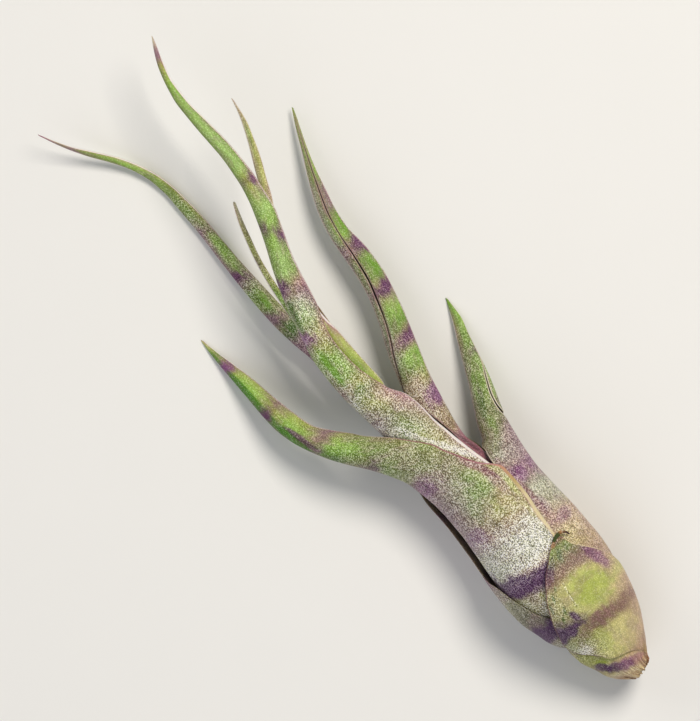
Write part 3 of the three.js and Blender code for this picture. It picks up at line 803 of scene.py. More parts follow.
leafLeftLong = {
    "wall": 0.55, "end": 75.3, "seed": 3, "inner": "moss",
    "span": [
        [-69, 2.9, -6.9], [-66, 4.1, -8.7], [-64, 4.7, -10.05], [-62, 6.25, -10.15], [-60, 7.25, -10.45],
        [-58, 7.8, -11.2], [-54, 8.95, -11.65], [-50, 9.25, -12.15], [-46, 9.05, -12.35],
        [-42, 8.6, -12.2], [-38, 8.15, -11.65], [-30, 7.8, -10.6], [-26, 7.95, -9.85], [-22, 7.8, -8.4],
        [-18, 6.9, -6.4], [-14, 5.3, -3.9], [-10, 5.2, -2], [-5, 5.6, -0.4], [0, 6.3, 1.1], [5, 6.8, 2.2],
        [9.5, 7.1, 3], [14, 7.85, 4.1], [20, 8.45, 4.8], [26, 8.6, 5.1], [34, 8.4, 5.4], [42, 8.05, 5.35],
        [50, 8.05, 5.85], [54, 8.5, 6.6], [58, 9.75, 8.1], [62, 12, 10.3], [66, 14.75, 13.25],
        [70, 17.1, 16.35], [75, 19.4, 19.2],
    ],
    "height": [
        [-69, 8.9, 1], [-66, 9.1, 1], [-64, 9.6, 1], [-58, 10.5, 1], [-50, 10.75, 1], [-46, 10.7, 1],
        [-38, 10, 1], [-30, 9.4, 0.96], [-22, 8.3, 0.9], [-14, 6, 0.85], [-10, 5, 0.8], [-5, 4.3, 0.8],
        [0, 4, 0.8], [14, 3.2, 0.8], [26, 2.2, 0.85], [42, 1.24, 0.9], [50, 1.05, 0.9], [58, 1.7, 0.8],
        [66, 3.6, 0.75], [75, 7, 0.8],
    ],
    "margins": [
        [-69, 10, 200], [-62, 19, 215], [-54, 44, 218], [-50, 54, 218], [-46, 66, 218], [-42, 92, 220],
        [-26, 97, 225], [-22, 106, 230], [-14, 106, 240], [-10, 100, 250], [-6, 60, 256], [-3, 20, 260],
        [0, -20, 263], [4, -60, 267], [9, -76, 270], [75, -76, 268],
    ],
    "marginWidth": [[-69, 0.3], [45, 0.25], [52, 0.35, 0.25], [70, 0.3, 0.2], [75, 0.2]],
    "marginShow": [[-69, 0], [10, 0.1], [40, 0.5], [50, 1]],
    "edgeHighlight": [[24, 0], [30, 0.12, 0], [40, 0.16, 0], [46, 0.3, 0], [66, 0.34, 0.1], [73, 0]],
    # The dark stone ground of its base is painted shade, for the shadow it lies in beside the front left
    # leaf.
    "ground": [
        [-69, "stone", "stone", "tan"], [-63, "stone", "stone", "tan"], [-61, "sage", "stone", "tan"],
        [-56, "stone", "stone", "tan"], [-50, "sage", "stone", "tan"], [-44, "mauve", "stone", "tan"],
        [-30, "mauve", "moss", "sage"], [0, "deep"], [10, "mauve"], [13.5, "mauve"], [15.5, "deep"],
        [17.5, "moss", "deep"], [19.5, "mauve", "sage", "moss"], [22, "leek", "leek", "moss"],
        [26.5, "leek", "leek", "sage"], [29, "mauve", "sage"], [31.5, "mauve", "leek", "sage"],
        [34, "mauve", "fresh", "leek"], [38, "mauve", "fresh", "leek"], [41, "mauve", "moss"],
        [45, "leek", "leek", "olive"], [52, "leek", "leek", "olive"], [60, "leek", "fresh", "olive"],
        [66, "moss", "leek", "olive"], [70, "mauve", "moss", "tan"], [75, "rose", "mauve"],
    ],
    "bloom": [
        [-69, 0.3], [-62, 0.45, 0.4], [-57, 0.2, 0.3, 0.4], [-50, 0.45, 0.4, 0.5], [-20, 0.5, 0.5, 0.4],
        [8, 0.4], [18, 0.3], [23, 0.3], [27, 0.6, 0.4], [31, 0.25, 0.25, 0.3], [38, 0.3], [44, 0.5, 0.4],
        [50, 0.3, 0.25, 0.3], [60, 0.12, 0.1, 0.12], [75, 0.1, 0.08, 0.1],
    ],
    "bands": [
        [-60.3, -56.4, 0, "violet", 1, 0.7, 0.4], [-45, -42, 0, "plum", 0.5, 0.4],
        [-31, -28, 0, "plum", 0.5], [-12, -9, 0, "plum", 0.6], [4, 7, 0, "plum", 0.6],
        [18.4, 21, 2, "mauve", 0.9, 0.6, 0.4], [28.6, 31, 2, "plum", 1.15, 0.65, 0.45],
        [40, 42.2, 1, "mauve", 0.6, 0.5, 0.4], [54, 56, 0, "mauve", 0.3, 0.2, 0.1],
        [68, 70.5, 0, "mauve", 0.7, 0.6, 0.4], [73, 76, 0, "rose", 0.9],
    ],
    "patches": [[24.3, 6.6, 2.6, 0.8, -2, "vivid", 0.7], [24.3, 6.6, 2.2, 0.6, -2, "bare", 0.5]],
}

leafFrontLeft = {
    "wall": 0.55, "end": 25.8, "seed": 4, "inner": "leek",
    "span": [
        [-67, 2.5, -6.7], [-62, 4.8, -9], [-58, 6.7, -10.5], [-54, 7.85, -11.4], [-50, 8.3, -11.9],
        [-48, 8.15, -12.1], [-46, 7.8, -12.3], [-42, 7.35, -12.05], [-38, 6.95, -11.65],
        [-34, 6.65, -11.15], [-30, 6.65, -10.35], [-27, 6.85, -9.55], [-24, 7.35, -8.5], [-20, 8.3, -6.3],
        [-17, 9.9, -3.3], [-14, 11.8, 0], [-10, 14.8, 5.4], [-7, 16.8, 9], [-3, 18.85, 12.8],
        [0, 20, 14.95], [4, 20.85, 16], [8, 21.05, 16.85], [14, 21.05, 17.9], [19, 21.1, 19.1],
        [22, 21.05, 19.9], [25.5, 20.85, 20.6],
    ],
    "height": [
        [-67, 9.3, 1], [-62, 10.25, 1], [-58, 10.7, 1], [-54, 11.15, 1], [-50, 11.45, 1], [-46, 11.4, 1],
        [-38, 10.7, 1], [-30, 10.2, 1], [-24, 10.3, 1], [-20, 10.7, 0.93], [-17, 11.5, 0.87],
        [-14, 11.8, 0.85], [-10, 11.2, 0.82], [-3, 8.9, 0.85], [4, 6.3, 0.85], [12, 3.5, 0.85],
        [20, 0.95, 0.85], [25.5, 0.14, 0.85],
    ],
    "margins": [
        [-67, -28, 160], [-50, -28, 150], [-46, -25.5, 150], [-42, -31, 148], [-38, -35.5, 146],
        [-34, -39, 144], [-31, -43, 143], [-29, -45, 141], [-27.5, -39, 138], [-26, -30, 135],
        [-24, -24, 122], [-20, -18, 100], [-17, -29, 112], [-14, -34, 125], [-10.6, -48, 155],
        [-8, -56, 175], [-5, -80, 200], [0, -84, 230], [8, -84, 245], [25.5, -84, 245],
    ],
    "marginWidth": [
        [-67, 0.3], [-46, 0.55, 0.3], [-40, 1.1, 0.3], [-30, 1, 0.3], [-26, 0.5, 0.3], [-22, 0.4, 0.3],
        [-14, 0.3], [25, 0.28],
    ],
    "marginTone": [
        [-36, "amber", "rim"], [-32.5, "gold", "rim"], [-29.5, "salmon", "rim"], [-26.5, "rose", "rim"],
        [-24, "wine", "rim"], [-14, "wine", "rim"], [-9, "rim"],
    ],
    "edgeHighlight": [[-12, 0], [-9, 0.2, 0], [-4, 0.3, 0], [15, 0.24, 0], [23, 0.08, 0]],
    # Painted shade darkens the blade beyond this fold line.
    "shadeBeyondFold": [
        [-9, 0.75, 0], [-6, 0.6, 0.4], [-3, 0.5, 0.8], [3, 0.42, 0.9], [9, 0.35, 0.9], [16, 0.28, 0.9],
        [22, 0.2, 0.6], [25, 0.2, 0.2],
    ],
    "ground": [
        [-67, "sage", "sage", "straw"], [-54, "sage", "tan", "straw"], [-51, "moss", "tan", "gold"],
        [-47.5, "mauve", "buff"], [-45, "silver"], [-41, "silver", "silver", "tan"], [-38, "mauve", "tan"],
        [-34.5, "mauve", "olive", "straw"], [-31, "mauve", "leek", "straw"],
        [-27, "mauve", "leek", "gold"], [-24, "mauve", "moss", "tan"], [-20, "moss", "moss", "olive"],
        [-15, "leek", "moss", "olive"], [-11, "moss", "leek", "tan"], [-8, "deep", "fresh", "moss"],
        [-5, "vivid", "fresh", "olive"], [-3, "vivid", "tan", "mauve"], [0, "vivid", "fresh", "olive"],
        [3, "vivid", "fresh", "lime"], [7, "vivid", "olive", "mauve"], [11, "vivid", "fresh", "lime"],
        [15, "vivid", "fresh", "lime"], [18.5, "leek", "olive", "mauve"], [22, "vivid", "leek"],
        [25.5, "straw"],
    ],
    "bloom": [
        [-67, 0.5, 0.5, 0.4], [-52, 0.6], [-50, 0.3, 0.35, 0.7], [-47, 0.6, 0.95], [-44, 0.85, 1, 0.9],
        [-40, 0.8, 0.9, 0.85], [-37, 0.6], [-30, 0.55, 0.5], [-22, 0.5, 0.5, 0.45], [-15, 0.5, 0.45],
        [-9, 0.35, 0.3, 0.35], [-2, 0.2, 0.2, 0.25], [8, 0.12, 0.15], [25.5, 0.05, 0.08, 0.1],
    ],
    "bands": [
        [-52.2, -48.2, 6, "violet", 1.2, 0.95, 0.5], [-25, -21, 1, "orchid", 0.55, 0.1, 0],
        [-14, -11.4, -2, "plum", 0.7, 0.2, 0.1], [-4.8, -2.4, -2, "mauve", 0.6, 0.5, 0.4],
        [6.1, 8.3, -1, "plum", 1, 0.5, 0.2], [17.3, 20, 0, "orchid", 1, 0.8, 0.5],
    ],
    "patches": [
        [-45.2, 7.3, 3.2, 0.7, -4, "violet", 0.85], [-52.5, 2.4, 0.9, 0.8, 0, "olive", 0.8],
        [-36.2, 4.8, 2, 2.3, 0, "orchid", 0.6], [-37, 0.6, 1.6, 1.4, 0, "umber", 0.25],
        [-22.5, 5.8, 2.6, 1.4, 14, "orchid", 0.35], [-30.5, -5, 5.5, 1, 8, "wine", 0.6],
        [-25.5, -3.7, 5, 0.95, 26, "wine", 0.75], [-27.5, -5.1, 4.5, 0.3, 14, "wine", 0.6],
        [-17, -0.6, 5, 0.4, 36, "wine", 0.6], [-31.5, 1.2, 3.8, 1.6, -20, "vivid", 0.35],
        [-33.6, -4, 2.6, 1.6, 0, "gold", 0.4], [-40.5, -6.6, 4.5, 0.8, 3, "straw", 0.6],
        [-39.6, -8, 3.6, 0.35, 4, "rose", 0.7], [-15.5, 1.6, 3, 1.5, 25, "leek", 0.5],
        [-1, 18.15, 4.8, 0.65, 14.5, "plum", 0.85], [-44.5, -1.5, 2.8, 3.2, 0, "white", 0.6],
    ],
}

leafRightLow = {
    "wall": 0.55, "end": 2.1, "seed": 5, "inner": "leek",
    "span": [
        [-66, 2.7, -9.6], [-62, 4, -10.9], [-58, 6.1, -11.8], [-56, 6, -12.6], [-54, 5.9, -13.1],
        [-50, 5.8, -13.45], [-46, 5.4, -13.4], [-42, 5.1, -13.2], [-38, 4.6, -12.9], [-34, 3.6, -12.8],
        [-30, 1.9, -13.1], [-26, -2.5, -13.5], [-24.5, -5.3, -13.7], [-23, -7.8, -14], [-20, -9.1, -14.9],
        [-17, -10.7, -15.95], [-14, -12.3, -16.9], [-10, -14.2, -17.9], [-6, -16.1, -18.9],
        [-2, -18.1, -19.95], [1.6, -19.7, -20.1],
    ],
    "height": [
        [-66, 10, 0.96], [-62, 10.3, 0.93], [-58, 10.3, 0.95], [-46, 10.4, 0.97], [-38, 9.8, 0.95],
        [-34, 9.4, 0.92], [-30, 9.1, 0.88], [-26, 8.4, 0.9], [-23, 7.6, 0.95], [-20, 6.6, 0.95],
        [-14, 4.6, 0.9], [-8, 2.6, 0.9], [-2, 0.95, 0.9], [1.6, 0.2, 0.9],
    ],
    "margins": [
        [-66, -146, -30], [-58, -148, -30], [-54, -150, -22], [-46, -150, -11], [-38, -146, -16],
        [-34, -140, -15], [-30, -128, -9], [-26, -106, 12], [-24.5, -95, 34], [-23.2, -86, 100],
        [-22.3, -76, 200], [-21.6, -64, 262], [-20.5, -50, 296], [-18.5, -38, 314], [-17, -34, 319],
        [-14, -42, 311], [-12.6, -56, 296], [-11, -72, 279], [-10, -80, 270], [1.6, -84, 262],
    ],
    "marginWidth": [[-66, 0.3], [-20, 0.3], [2, 0.25]],
    "edgeHighlight": [
        [-60, 0], [-50, 0.03, 0], [-30, 0.04, 0], [-22, 0, 0.12], [-16, 0, 0.2], [-4, 0, 0.2], [1, 0],
    ],
    "ground": [
        [-66, "tan", "tan", "straw"], [-55, "mauve", "mauve", "buff"], [-51.5, "rose", "mauve", "buff"],
        [-49, "straw", "straw", "buff"], [-46, "straw", "straw", "buff"], [-43, "rose", "buff"],
        [-40, "buff", "buff", "silver"], [-36, "buff", "silver"], [-32, "mauve", "buff", "mauve"],
        [-28, "moss", "silver", "mauve"], [-24, "moss", "moss", "mauve"], [-20, "sage", "moss", "leek"],
        [-15, "sage", "leek", "fresh"], [-9, "sage", "leek"], [-4, "tan", "leek", "fresh"],
        [1.6, "vivid", "vivid", "fresh"],
    ],
    "bloom": [
        [-66, 0.3], [-50, 0.25, 0.25, 0.3], [-46, 0.3, 0.35, 0.45], [-42, 0.4, 0.45], [-38, 0.5],
        [-34, 0.4, 0.45], [-28, 0.45, 0.5, 0.45], [-24, 0.4, 0.45, 0.4], [-18, 0.35, 0.35, 0.4],
        [-8, 0.35, 0.35, 0.4], [-3, 0.25, 0.2], [1.6, 0.1, 0.1, 0.15],
    ],
    "bands": [
        [-58, -55, 0, "plum", 0.4, 0.4, 0.5], [-44.6, -41.6, 0, "orchid", 0.3, 0.45, 0.2],
        [-33.8, -30.4, 0, "orchid", 0.55, 0.75, 0.35], [-20.5, -18.5, 0, "plum", 0.2, 0.2, 0.6],
        [-9.8, -8, 0, "orchid", 0.1, 0.3, 0.7],
    ],
    "patches": [
        [-35, -7.9, 10.5, 0.95, 3.4, "wine", 0.75], [-31.8, -9.2, 2.2, 1.6, 10, "orchid", 0.7],
        [-33, -12.3, 2.8, 0.7, 6, "orchid", 0.5], [-43.4, -10.6, 1.6, 1.8, 0, "orchid", 0.45],
        [-39.5, -9.2, 2.6, 0.8, 6, "orchid", 0.35], [-17.5, -12.3, 4, 0.8, -28, "deep", 0.7],
        [-14, -13.5, 3, 0.5, -28, "vivid", 0.5], [-22, -11.2, 2.2, 0.9, -20, "vivid", 0.4],
    ],
}

leafCentre = {
    "wall": 0.55, "end": 75.5, "seed": 6, "inner": "lime",
    "span": [
        [-61, 3.4, -7.8], [-58, 4.6, -9.4], [-54, 5.5, -10.3], [-46, 5.7, -10.3], [-38, 5, -9],
        [-30, 4.8, -8], [-27, 5, -7.6], [-24, 5.2, -6.8], [-20, 5.5, -5.7], [-17, 5.4, -4.6],
        [-14, 5.55, -3.75], [-10, 6, -3.3], [-7, 6.35, -2.6], [-4, 6.7, -1], [0, 7.05, -0.75],
        [4, 7.15, -0.5], [8, 7, -0.3], [12, 6.3, -0.3], [16, 5.3, -0.55], [20, 4.3, -1.25],
        [26, 2.2, -2.7], [32, -0.35, -4.75], [36, -1.85, -6.1], [40, -3.15, -6.65], [44, -3.95, -7.15],
        [50, -4.4, -7.3], [56, -4.3, -6.9], [62, -4.4, -6.45], [66, -5.05, -6.6], [70, -6.2, -7.5],
        [73, -7.6, -8.5], [75.2, -8.9, -9.15],
    ],
    "height": [
        [-61, 10.5, 1], [-54, 10.8, 1], [-38, 10.2, 1], [-30, 10, 1], [-24, 10.3, 1], [-20, 10.9, 0.96],
        [-17, 10.9, 0.93], [-14, 11.1, 0.92], [-10, 12.2, 0.9], [-5, 13.8, 0.87], [0, 15.3, 0.85],
        [10, 18, 0.85], [20, 20, 0.85], [32, 21, 0.85], [44, 20, 0.85], [56, 17.4, 0.85], [66, 15.4, 0.85],
        [75.2, 14.4, 0.85],
    ],
    "margins": [
        [-61, -60, 190], [-46, -52, 170], [-30, -50, 150], [-27, -51, 136], [-24, -51.5, 118],
        [-20, -54, 105], [-17, -62, 105], [-14, -70, 105], [-10, -80, 108], [-7, -86, 160],
        [-4.8, -82, 205], [-3.8, -66, 214], [-2.3, -55, 222], [-0.9, -44, 226], [0.7, -37.5, 229],
        [2.3, -31.5, 231], [4.1, -29, 233], [7, -28, 236], [10, -29, 242], [13, -39, 254],
        [15.5, -56, 256], [17.5, -78, 249], [20, -88, 238], [27, -86, 205], [32, -84, 165], [40, -84, 165],
        [48, -84, 228], [75.2, -84, 245],
    ],
    "marginWidth": [
        [-61, 0.3], [-28, 0.9, 0.3], [-14, 1.1, 0.3], [-6, 0.8, 0.3], [0, 0.4, 0.3], [12, 0.4, 0.35],
        [30, 0.25, 0.3], [75, 0.25, 0.3],
    ],
    # The edge tint on the first margin near the base is a painted highlight on the real clear margin.
    "marginTone": [[-10, "edge", "rim"], [-3, "rim"]],
    "marginShow": [[-61, 1], [-8, 1], [-4, 0.35], [14, 0.3], [26, 1], [75, 1]],
    "edgeHighlight": [
        [-12, 0], [-9, 0.2, 0], [-5, 0.25, 0], [-3.5, 0], [13, 0], [15, 0.24, 0], [24, 0.34, 0],
        [32, 0.34, 0], [66, 0.32, 0], [73, 0.1, 0],
    ],
    "ground": [
        [-61, "sage"], [-24, "tan"], [-18, "tan", "olive", "tan"], [-13, "silver", "leek", "tan"],
        [-8, "mauve", "moss", "rose"], [-4, "sage", "olive", "rose"], [-1, "sage", "leek", "tan"],
        [0.5, "dusk", "olive", "tan"], [3, "moss", "fresh", "rose"], [7, "leek", "fresh", "mauve"],
        [10, "leek", "olive", "mauve"], [12.5, "mauve", "olive", "rose"], [16, "leek", "spring", "mauve"],
        [19.5, "leek", "silver", "mauve"], [22, "mauve", "tan", "rose"], [25, "leek", "spring", "leek"],
        [28, "leek", "spring", "leek"], [31, "leek", "fresh", "mauve"], [34, "leek", "fresh", "leek"],
        [37, "leek", "spring", "fresh"], [42.8, "leek", "olive", "mauve"], [46, "leek", "spring", "leek"],
        [55, "leek", "spring", "leek"], [66, "leek", "fresh"], [70, "moss", "olive", "tan"],
        [72, "mauve", "mauve", "rose"], [75, "cream"],
    ],
    "bloom": [
        [-61, 0.5], [-27, 0.8], [-20, 0.8, 0.7, 0.65], [-13, 0.9, 0.6], [-8, 0.75, 0.5, 0.6],
        [-4, 0.8, 0.55, 0.5], [1, 0.65, 0.5, 0.45], [5, 0.6, 0.4, 0.35], [10, 0.45, 0.45, 0.3],
        [13, 0.55, 0.5, 0.3], [17, 0.5, 0.65, 0.25], [21, 0.4, 0.5, 0.25], [26, 0.25, 0.2],
        [32, 0.2, 0.18, 0.2], [42, 0.15], [55, 0.08, 0.1, 0.12], [75, 0.06, 0.08, 0.1],
    ],
    "bands": [
        [-34, -31, 0, "plum", 0.6], [-1.2, 0.6, 0, "dusk", 0.7, -0.1, 0],
        [10.4, 12.9, 3.5, "orchid", 0.95, 0.3, 0.1], [20.7, 22.9, 4.3, "plum", 1.05, 0.45],
        [31.4, 33.6, 4.2, "plum", 0.75, 0.45, 1.05], [41.6, 43.8, 0.3, "plum", 0.35, 0.5, 1.05],
        [56, 58, 0, "mauve", 0.2], [70.8, 73.4, 0, "mauve", 0.7, 0.7, 0.8],
    ],
    # The first patch is a bright strip in the edge tint: painted highlight near the base.
    "patches": [
        [-20, -2.3, 8.6, 0.5, 33, "edge", 0.7], [-20, -2.3, 8.6, 0.7, 33, "white", 0.4],
        [-12.5, 2.2, 3, 0.5, 25, "white", 0.5], [-17, -0.9, 4, 1, 30, "olive", 0.45],
        [6, 5.2, 4.4, 0.95, -2, "vivid", 0.85], [6, 5.2, 4, 0.8, -2, "bare", 0.6],
        [17.4, 4.2, 3.4, 0.6, -14, "deep", 0.85], [17.4, 4.2, 3.2, 0.5, -14, "bare", 0.6],
        [-6, -1.8, 3.5, 0.5, 18, "rose", 0.6],
    ],
}

leafRightChannelled = {
    "wall": 0.55, "end": 48.5, "seed": 7, "inner": "umber",
    "span": [
        [-62, 2.2, -7.4], [-54, 3, -9.2], [-46, 2.6, -9], [-38, 2.1, -8.2], [-30, 1.5, -7.45],
        [-26, 1.35, -7.05], [-23, 1.3, -6.6], [-20, 1.3, -5.92], [-17, 1, -6.2], [-14, 0.3, -6.8],
        [-10, -0.5, -7.7], [-6.5, -2.2, -8.5], [-3.5, -3.2, -9.45], [0, -4.35, -10.55], [3, -5.55, -11.55],
        [6, -6.9, -12.5], [10, -8.3, -13.5], [14, -9.3, -14.25], [19, -9.9, -14.55], [24, -10.35, -14.3],
        [28, -11.15, -14.7], [32, -12.55, -15.65], [36, -14.3, -16.7], [40, -16.3, -17.95],
        [44, -18.3, -19.4], [48.2, -20.6, -20.95],
    ],
    "height": [
        [-62, 10.5, 1], [-46, 10, 1], [-30, 9.6, 0.95], [-20, 8.8, 0.9], [-14, 8, 0.92], [-10, 7.6, 0.9],
        [4, 6.8, 0.88], [14, 6.2, 0.85], [24, 5.4, 0.85], [32, 4.6, 0.85], [40, 3.2, 0.85],
        [48.2, 1.6, 0.85],
    ],
    "margins": [
        [-62, 100, 285], [-34, 100, 290], [-30, 100, 302], [-26, 96, 316], [-23, 92, 317], [-20, 88, 319],
        [-17, 80, 331], [-14, 72, 352], [-10, 72, 382], [-6.5, 78, 428], [-3.5, 65, 418], [0, 49, 403],
        [3, 37, 391], [10, 33, 387], [14, 27, 381], [19, 19, 373], [24, 8, 362], [28, 2, 356],
        [32, -3, 351], [36, -8, 346], [40, -12, 341], [48.2, -12, 341],
    ],
    "marginShow": [[0, 0.5]],
    "edgeHighlight": [[-16, 0], [-9, 0.16, 0.22], [0, 0.2, 0.25], [40, 0.14, 0.22], [47, 0]],
    "ground": [
        [-62, "sage"], [-30, "plum", "wine"], [-22, "wine"], [-19.5, "wine", "mauve", "rose"],
        [-17, "buff", "tan"], [-14, "tan"], [-10, "tan", "tan", "mauve"], [-6.5, "buff", "tan", "olive"],
        [-4, "moss", "leek", "fresh"], [-2, "silver", "fresh"], [1, "silver", "tan", "rose"],
        [4, "silver", "leek", "vivid"], [7, "sage", "fresh"], [11, "silver", "tan", "mauve"],
        [14, "sage", "leek", "vivid"], [17.5, "sage", "leek", "vivid"], [20.5, "mauve", "tan", "mauve"],
        [24, "silver", "fresh", "vivid"], [27.5, "silver", "leek", "vivid"],
        [29.5, "silver", "sage", "mauve"], [33, "silver", "sage", "mauve"], [36, "sage", "leek", "fresh"],
        [44, "sage", "leek", "fresh"], [48, "olive", "fresh"],
    ],
    "bloom": [
        [-62, 0.4], [-28, 0.1], [-20, 0.15, 0.2, 0.15], [-15, 0.5, 0.55, 0.45], [-10, 0.65, 0.6, 0.55],
        [-6, 0.6, 0.55, 0.45], [-3.5, 0.5, 0.35, 0.15], [-1, 0.5, 0.35, 0.15], [1, 0.5, 0.45, 0.4],
        [3.2, 0.5, 0.3, 0.12], [8.5, 0.45, 0.2, 0.08], [11, 0.45, 0.35, 0.3], [13, 0.4, 0.2, 0.08],
        [18, 0.35, 0.25, 0.08], [20.5, 0.4, 0.35, 0.3], [23.5, 0.35, 0.18, 0.1], [28, 0.3, 0.15, 0.1],
        [48, 0.1],
    ],
    "bands": [
        [-12.4, -8.2, 0, "orchid", 0.05, 0.3, 0.9], [-0.4, 2.6, 0.4, "plum", 0.2, 0.55, 1],
        [9.9, 12.2, 0.4, "plum", 0.3, 0.85, 1.05], [18.6, 22.4, 0.4, "plum", 0.3, 0.45, 0.9],
        [37, 39, 0, "mauve", 0.2, 0.2, 0.3],
    ],
    "patches": [
        # The first patch is a dark painted shadow line under the edge of the centre leaf, which lies over
        # this one.
        [-21.5, -5.5, 4, 0.3, 14.3, "ink", 0.6], [-20.5, -6.9, 3.6, 0.5, 14.3, "rose", 0.6],
        [-3.5, -8.6, 3, 0.7, -21, "vivid", 0.35], [15.5, -13.5, 3, 0.7, -5, "vivid", 0.4],
    ],
}

leafInnerThin = {
    "wall": 0.42, "end": 56.8, "seed": 8, "inner": "fresh",
    "span": [
        [-44, 0.8, -2.8], [-30, 1, -2.4], [-20, 1.6, -1.4], [-10, 2.3, -0.5], [-5.5, 2.45, -0.15],
        [-4.2, 2.5, -0.2], [-3.2, 2.5, -0.45], [-2.2, 2.5, -0.7], [-1, 2.55, -0.74], [1, 2.6, -0.64],
        [3, 2.6, -0.55], [6, 2.6, -0.46], [9, 2.55, -0.42], [11, 2.45, -0.36], [13, 2.25, -0.1],
        [15, 2.05, -0.03], [20, 1.6, -0.35], [28, 0, -1.9], [32, -1.55, -3.35], [35, -3.2, -5.5],
        [38, -5.05, -7.2], [41, -6.55, -8.5], [44, -7.95, -9.9], [48, -9.85, -11.4], [52, -11.55, -12.6],
        [55, -12.55, -13], [56.5, -12.9, -13.15],
    ],
    "height": [
        [-44, 11.5, 1], [-30, 12, 1], [-20, 12.6, 1], [-10, 13, 1], [-4, 14.3, 0.85], [-2.3, 14.75, 0.74],
        [0, 15.6, 0.75], [5, 17.3, 0.78], [10, 18.4, 0.8], [14, 19.05, 0.95], [20, 20, 0.95],
        [32, 20.8, 0.9], [35, 20.2, 0.9], [38, 19.2, 0.9], [44, 18.2, 0.9], [56.5, 16, 0.9],
    ],
    "margins": [[-44, -78, 250], [56.5, -78, 258]],
    "edgeHighlight": [
        [-4, 0], [-3, 0.2, 0], [5, 0.22, 0], [9, 0.3, 0], [13, 0.5, 0], [20, 0], [30, 0.15, 0.12],
        [52, 0.15, 0.12], [56, 0.05],
    ],
    "ground": [
        [-44, "straw"], [-3, "citron", "lime"], [2, "citron", "fresh", "lime"], [8, "citron", "lime"],
        [11, "olive", "lime", "rose"], [16, "olive", "olive", "rose"], [20, "straw"],
        [32, "olive", "fresh", "straw"], [38, "cream", "straw", "buff"], [41.5, "cream", "lime", "straw"],
        [44, "cream", "olive", "straw"], [50, "cream", "leek", "straw"], [54, "cream", "tan", "cream"],
        [56.5, "cream"],
    ],
    "bloom": [[-44, 0.03], [10, 0.05], [14, 0.3, 0.3, 0.2], [30, 0.25, 0.2, 0.3], [56, 0.15]],
    "bands": [[37.5, 40.5, 0, "orchid", 0.1, 0.2, 0.4], [50, 51.5, 0, "mauve", 0.1, 0.2]],
}

leafInnerShort = {
    "wall": 0.42, "end": 41.7, "seed": 9, "inner": "leek",
    "span": [
        [-24, 3.6, 1.6], [-20, 4.3, 2.3], [-14, 3.4, 1.4], [-10, 2.9, 0.9], [-5, 3.55, 1.65],
        [0, 4.5, 2.7], [10, 5.4, 3.75], [17, 5.1, 3.5], [23, 4.6, 3.1], [30, 3.4, 2.15], [34, 2.35, 1.1],
        [38, 1.05, 0], [41.3, -0.45, -1.05],
    ],
    "height": [
        [-24, 8, 1], [-20, 7.2, 1], [-14, 6.2, 1], [-10, 6.5, 1], [-5, 8.2, 1], [0, 8.9, 1], [10, 9.6, 1],
        [20, 10.2, 0.95], [30, 11.2, 0.9], [41.3, 12.6, 0.9],
    ],
    "margins": [[-24, -80, 250], [41.3, -80, 255]],
    "marginShow": [[0, 0.2]],
    "edgeHighlight": [[16, 0], [24, 0.1, 0.2], [36, 0.1, 0.2], [41, 0, 0.05]],
    "ground": [
        [-24, "straw"], [18, "leek", "leek", "fresh"], [23, "fresh", "fresh", "lime"],
        [26, "lime", "lime", "straw"], [33, "lime", "lime", "straw"], [36, "lime", "straw", "cream"],
        [39, "buff", "cream"], [41, "buff", "cream"],
    ],
    "bloom": [[-24, 0.2], [24, 0.3, 0.3, 0.35], [34, 0.3, 0.3, 0.35], [41, 0.15]],
    "bands": [[28.6, 31.2, 0, "mauve", 0.65, 0.4, 0.2], [19, 20.5, 0, "mauve", 0.3]],
}

leaves = {
    "basal_collar": ("silvery_sheath", basalCollar),
    "basal_scale": ("silvery_sheath", basalScale),
    "leaf_left_long": ("banded_green_leaf", leafLeftLong),
    "leaf_front_left": ("banded_green_leaf", leafFrontLeft),
    "leaf_right_low": ("banded_green_leaf", leafRightLow),
    "leaf_centre": ("banded_green_leaf", leafCentre),
    "leaf_right_channelled": ("banded_green_leaf", leafRightChannelled),
    "leaf_inner_thin": ("banded_green_leaf", leafInnerThin),
    "leaf_inner_short": ("banded_green_leaf", leafInnerShort),
}
for name, (slot, leaf) in leaves.items():
    makeLeaf(name, leaf)

# Withered tissue: dead leaf and stem, dried brown and stringy, dull all over.
dryTissue = {
    "fibreWidth": 0.25,  # mm
    "fibreStretch": 0.25,
    "fibreDetail": 4.0,
    "fibreRoughness": 0.65,
    "fibreShade": (0.32, 0.68, 0.45, 1.45),
    "relief": 0.12,  # mm
    "reliefStrength": 0.8,
    "roughness": 0.85,
}


def makeDryTissue():
    material, tree = newMaterial("witheredTissue")
    node, tissue = partial(addNode, tree), dryTissue
    tone, place = [node("Attribute", (), {"attribute_type": "GEOMETRY", "attribute_name": name}, output)
                   for name, output in (("tone", "Color"), ("skinPlace", "Vector"))]
    across = 1 / tissue["fibreWidth"]
    stretched = node("Mapping", {"Vector": place, "Scale": (tissue["fibreStretch"] * across, across, 1.0)})
    fibres = node("TexNoise", {
        "Vector": stretched, "Scale": 1.0, "Detail": tissue["fibreDetail"],
        "Roughness": tissue["fibreRoughness"]})
    shade = node("MapRange", (fibres, *tissue["fibreShade"]))
    tint = node("Mix", {0: 1.0, 6: tone, 7: shade}, filtered, 2)
    bump = node("Bump", {
        "Height": fibres, "Strength": tissue["reliefStrength"], "Distance": tissue["relief"] * mm})
    surface = node("BsdfPrincipled", {"Base Color": tint, "Roughness": tissue["roughness"], "Normal": bump})
    node("OutputMaterial", {"Surface": surface})
    return material


dryMaterial = makeDryTissue()
print("material of the withered parts is ready")

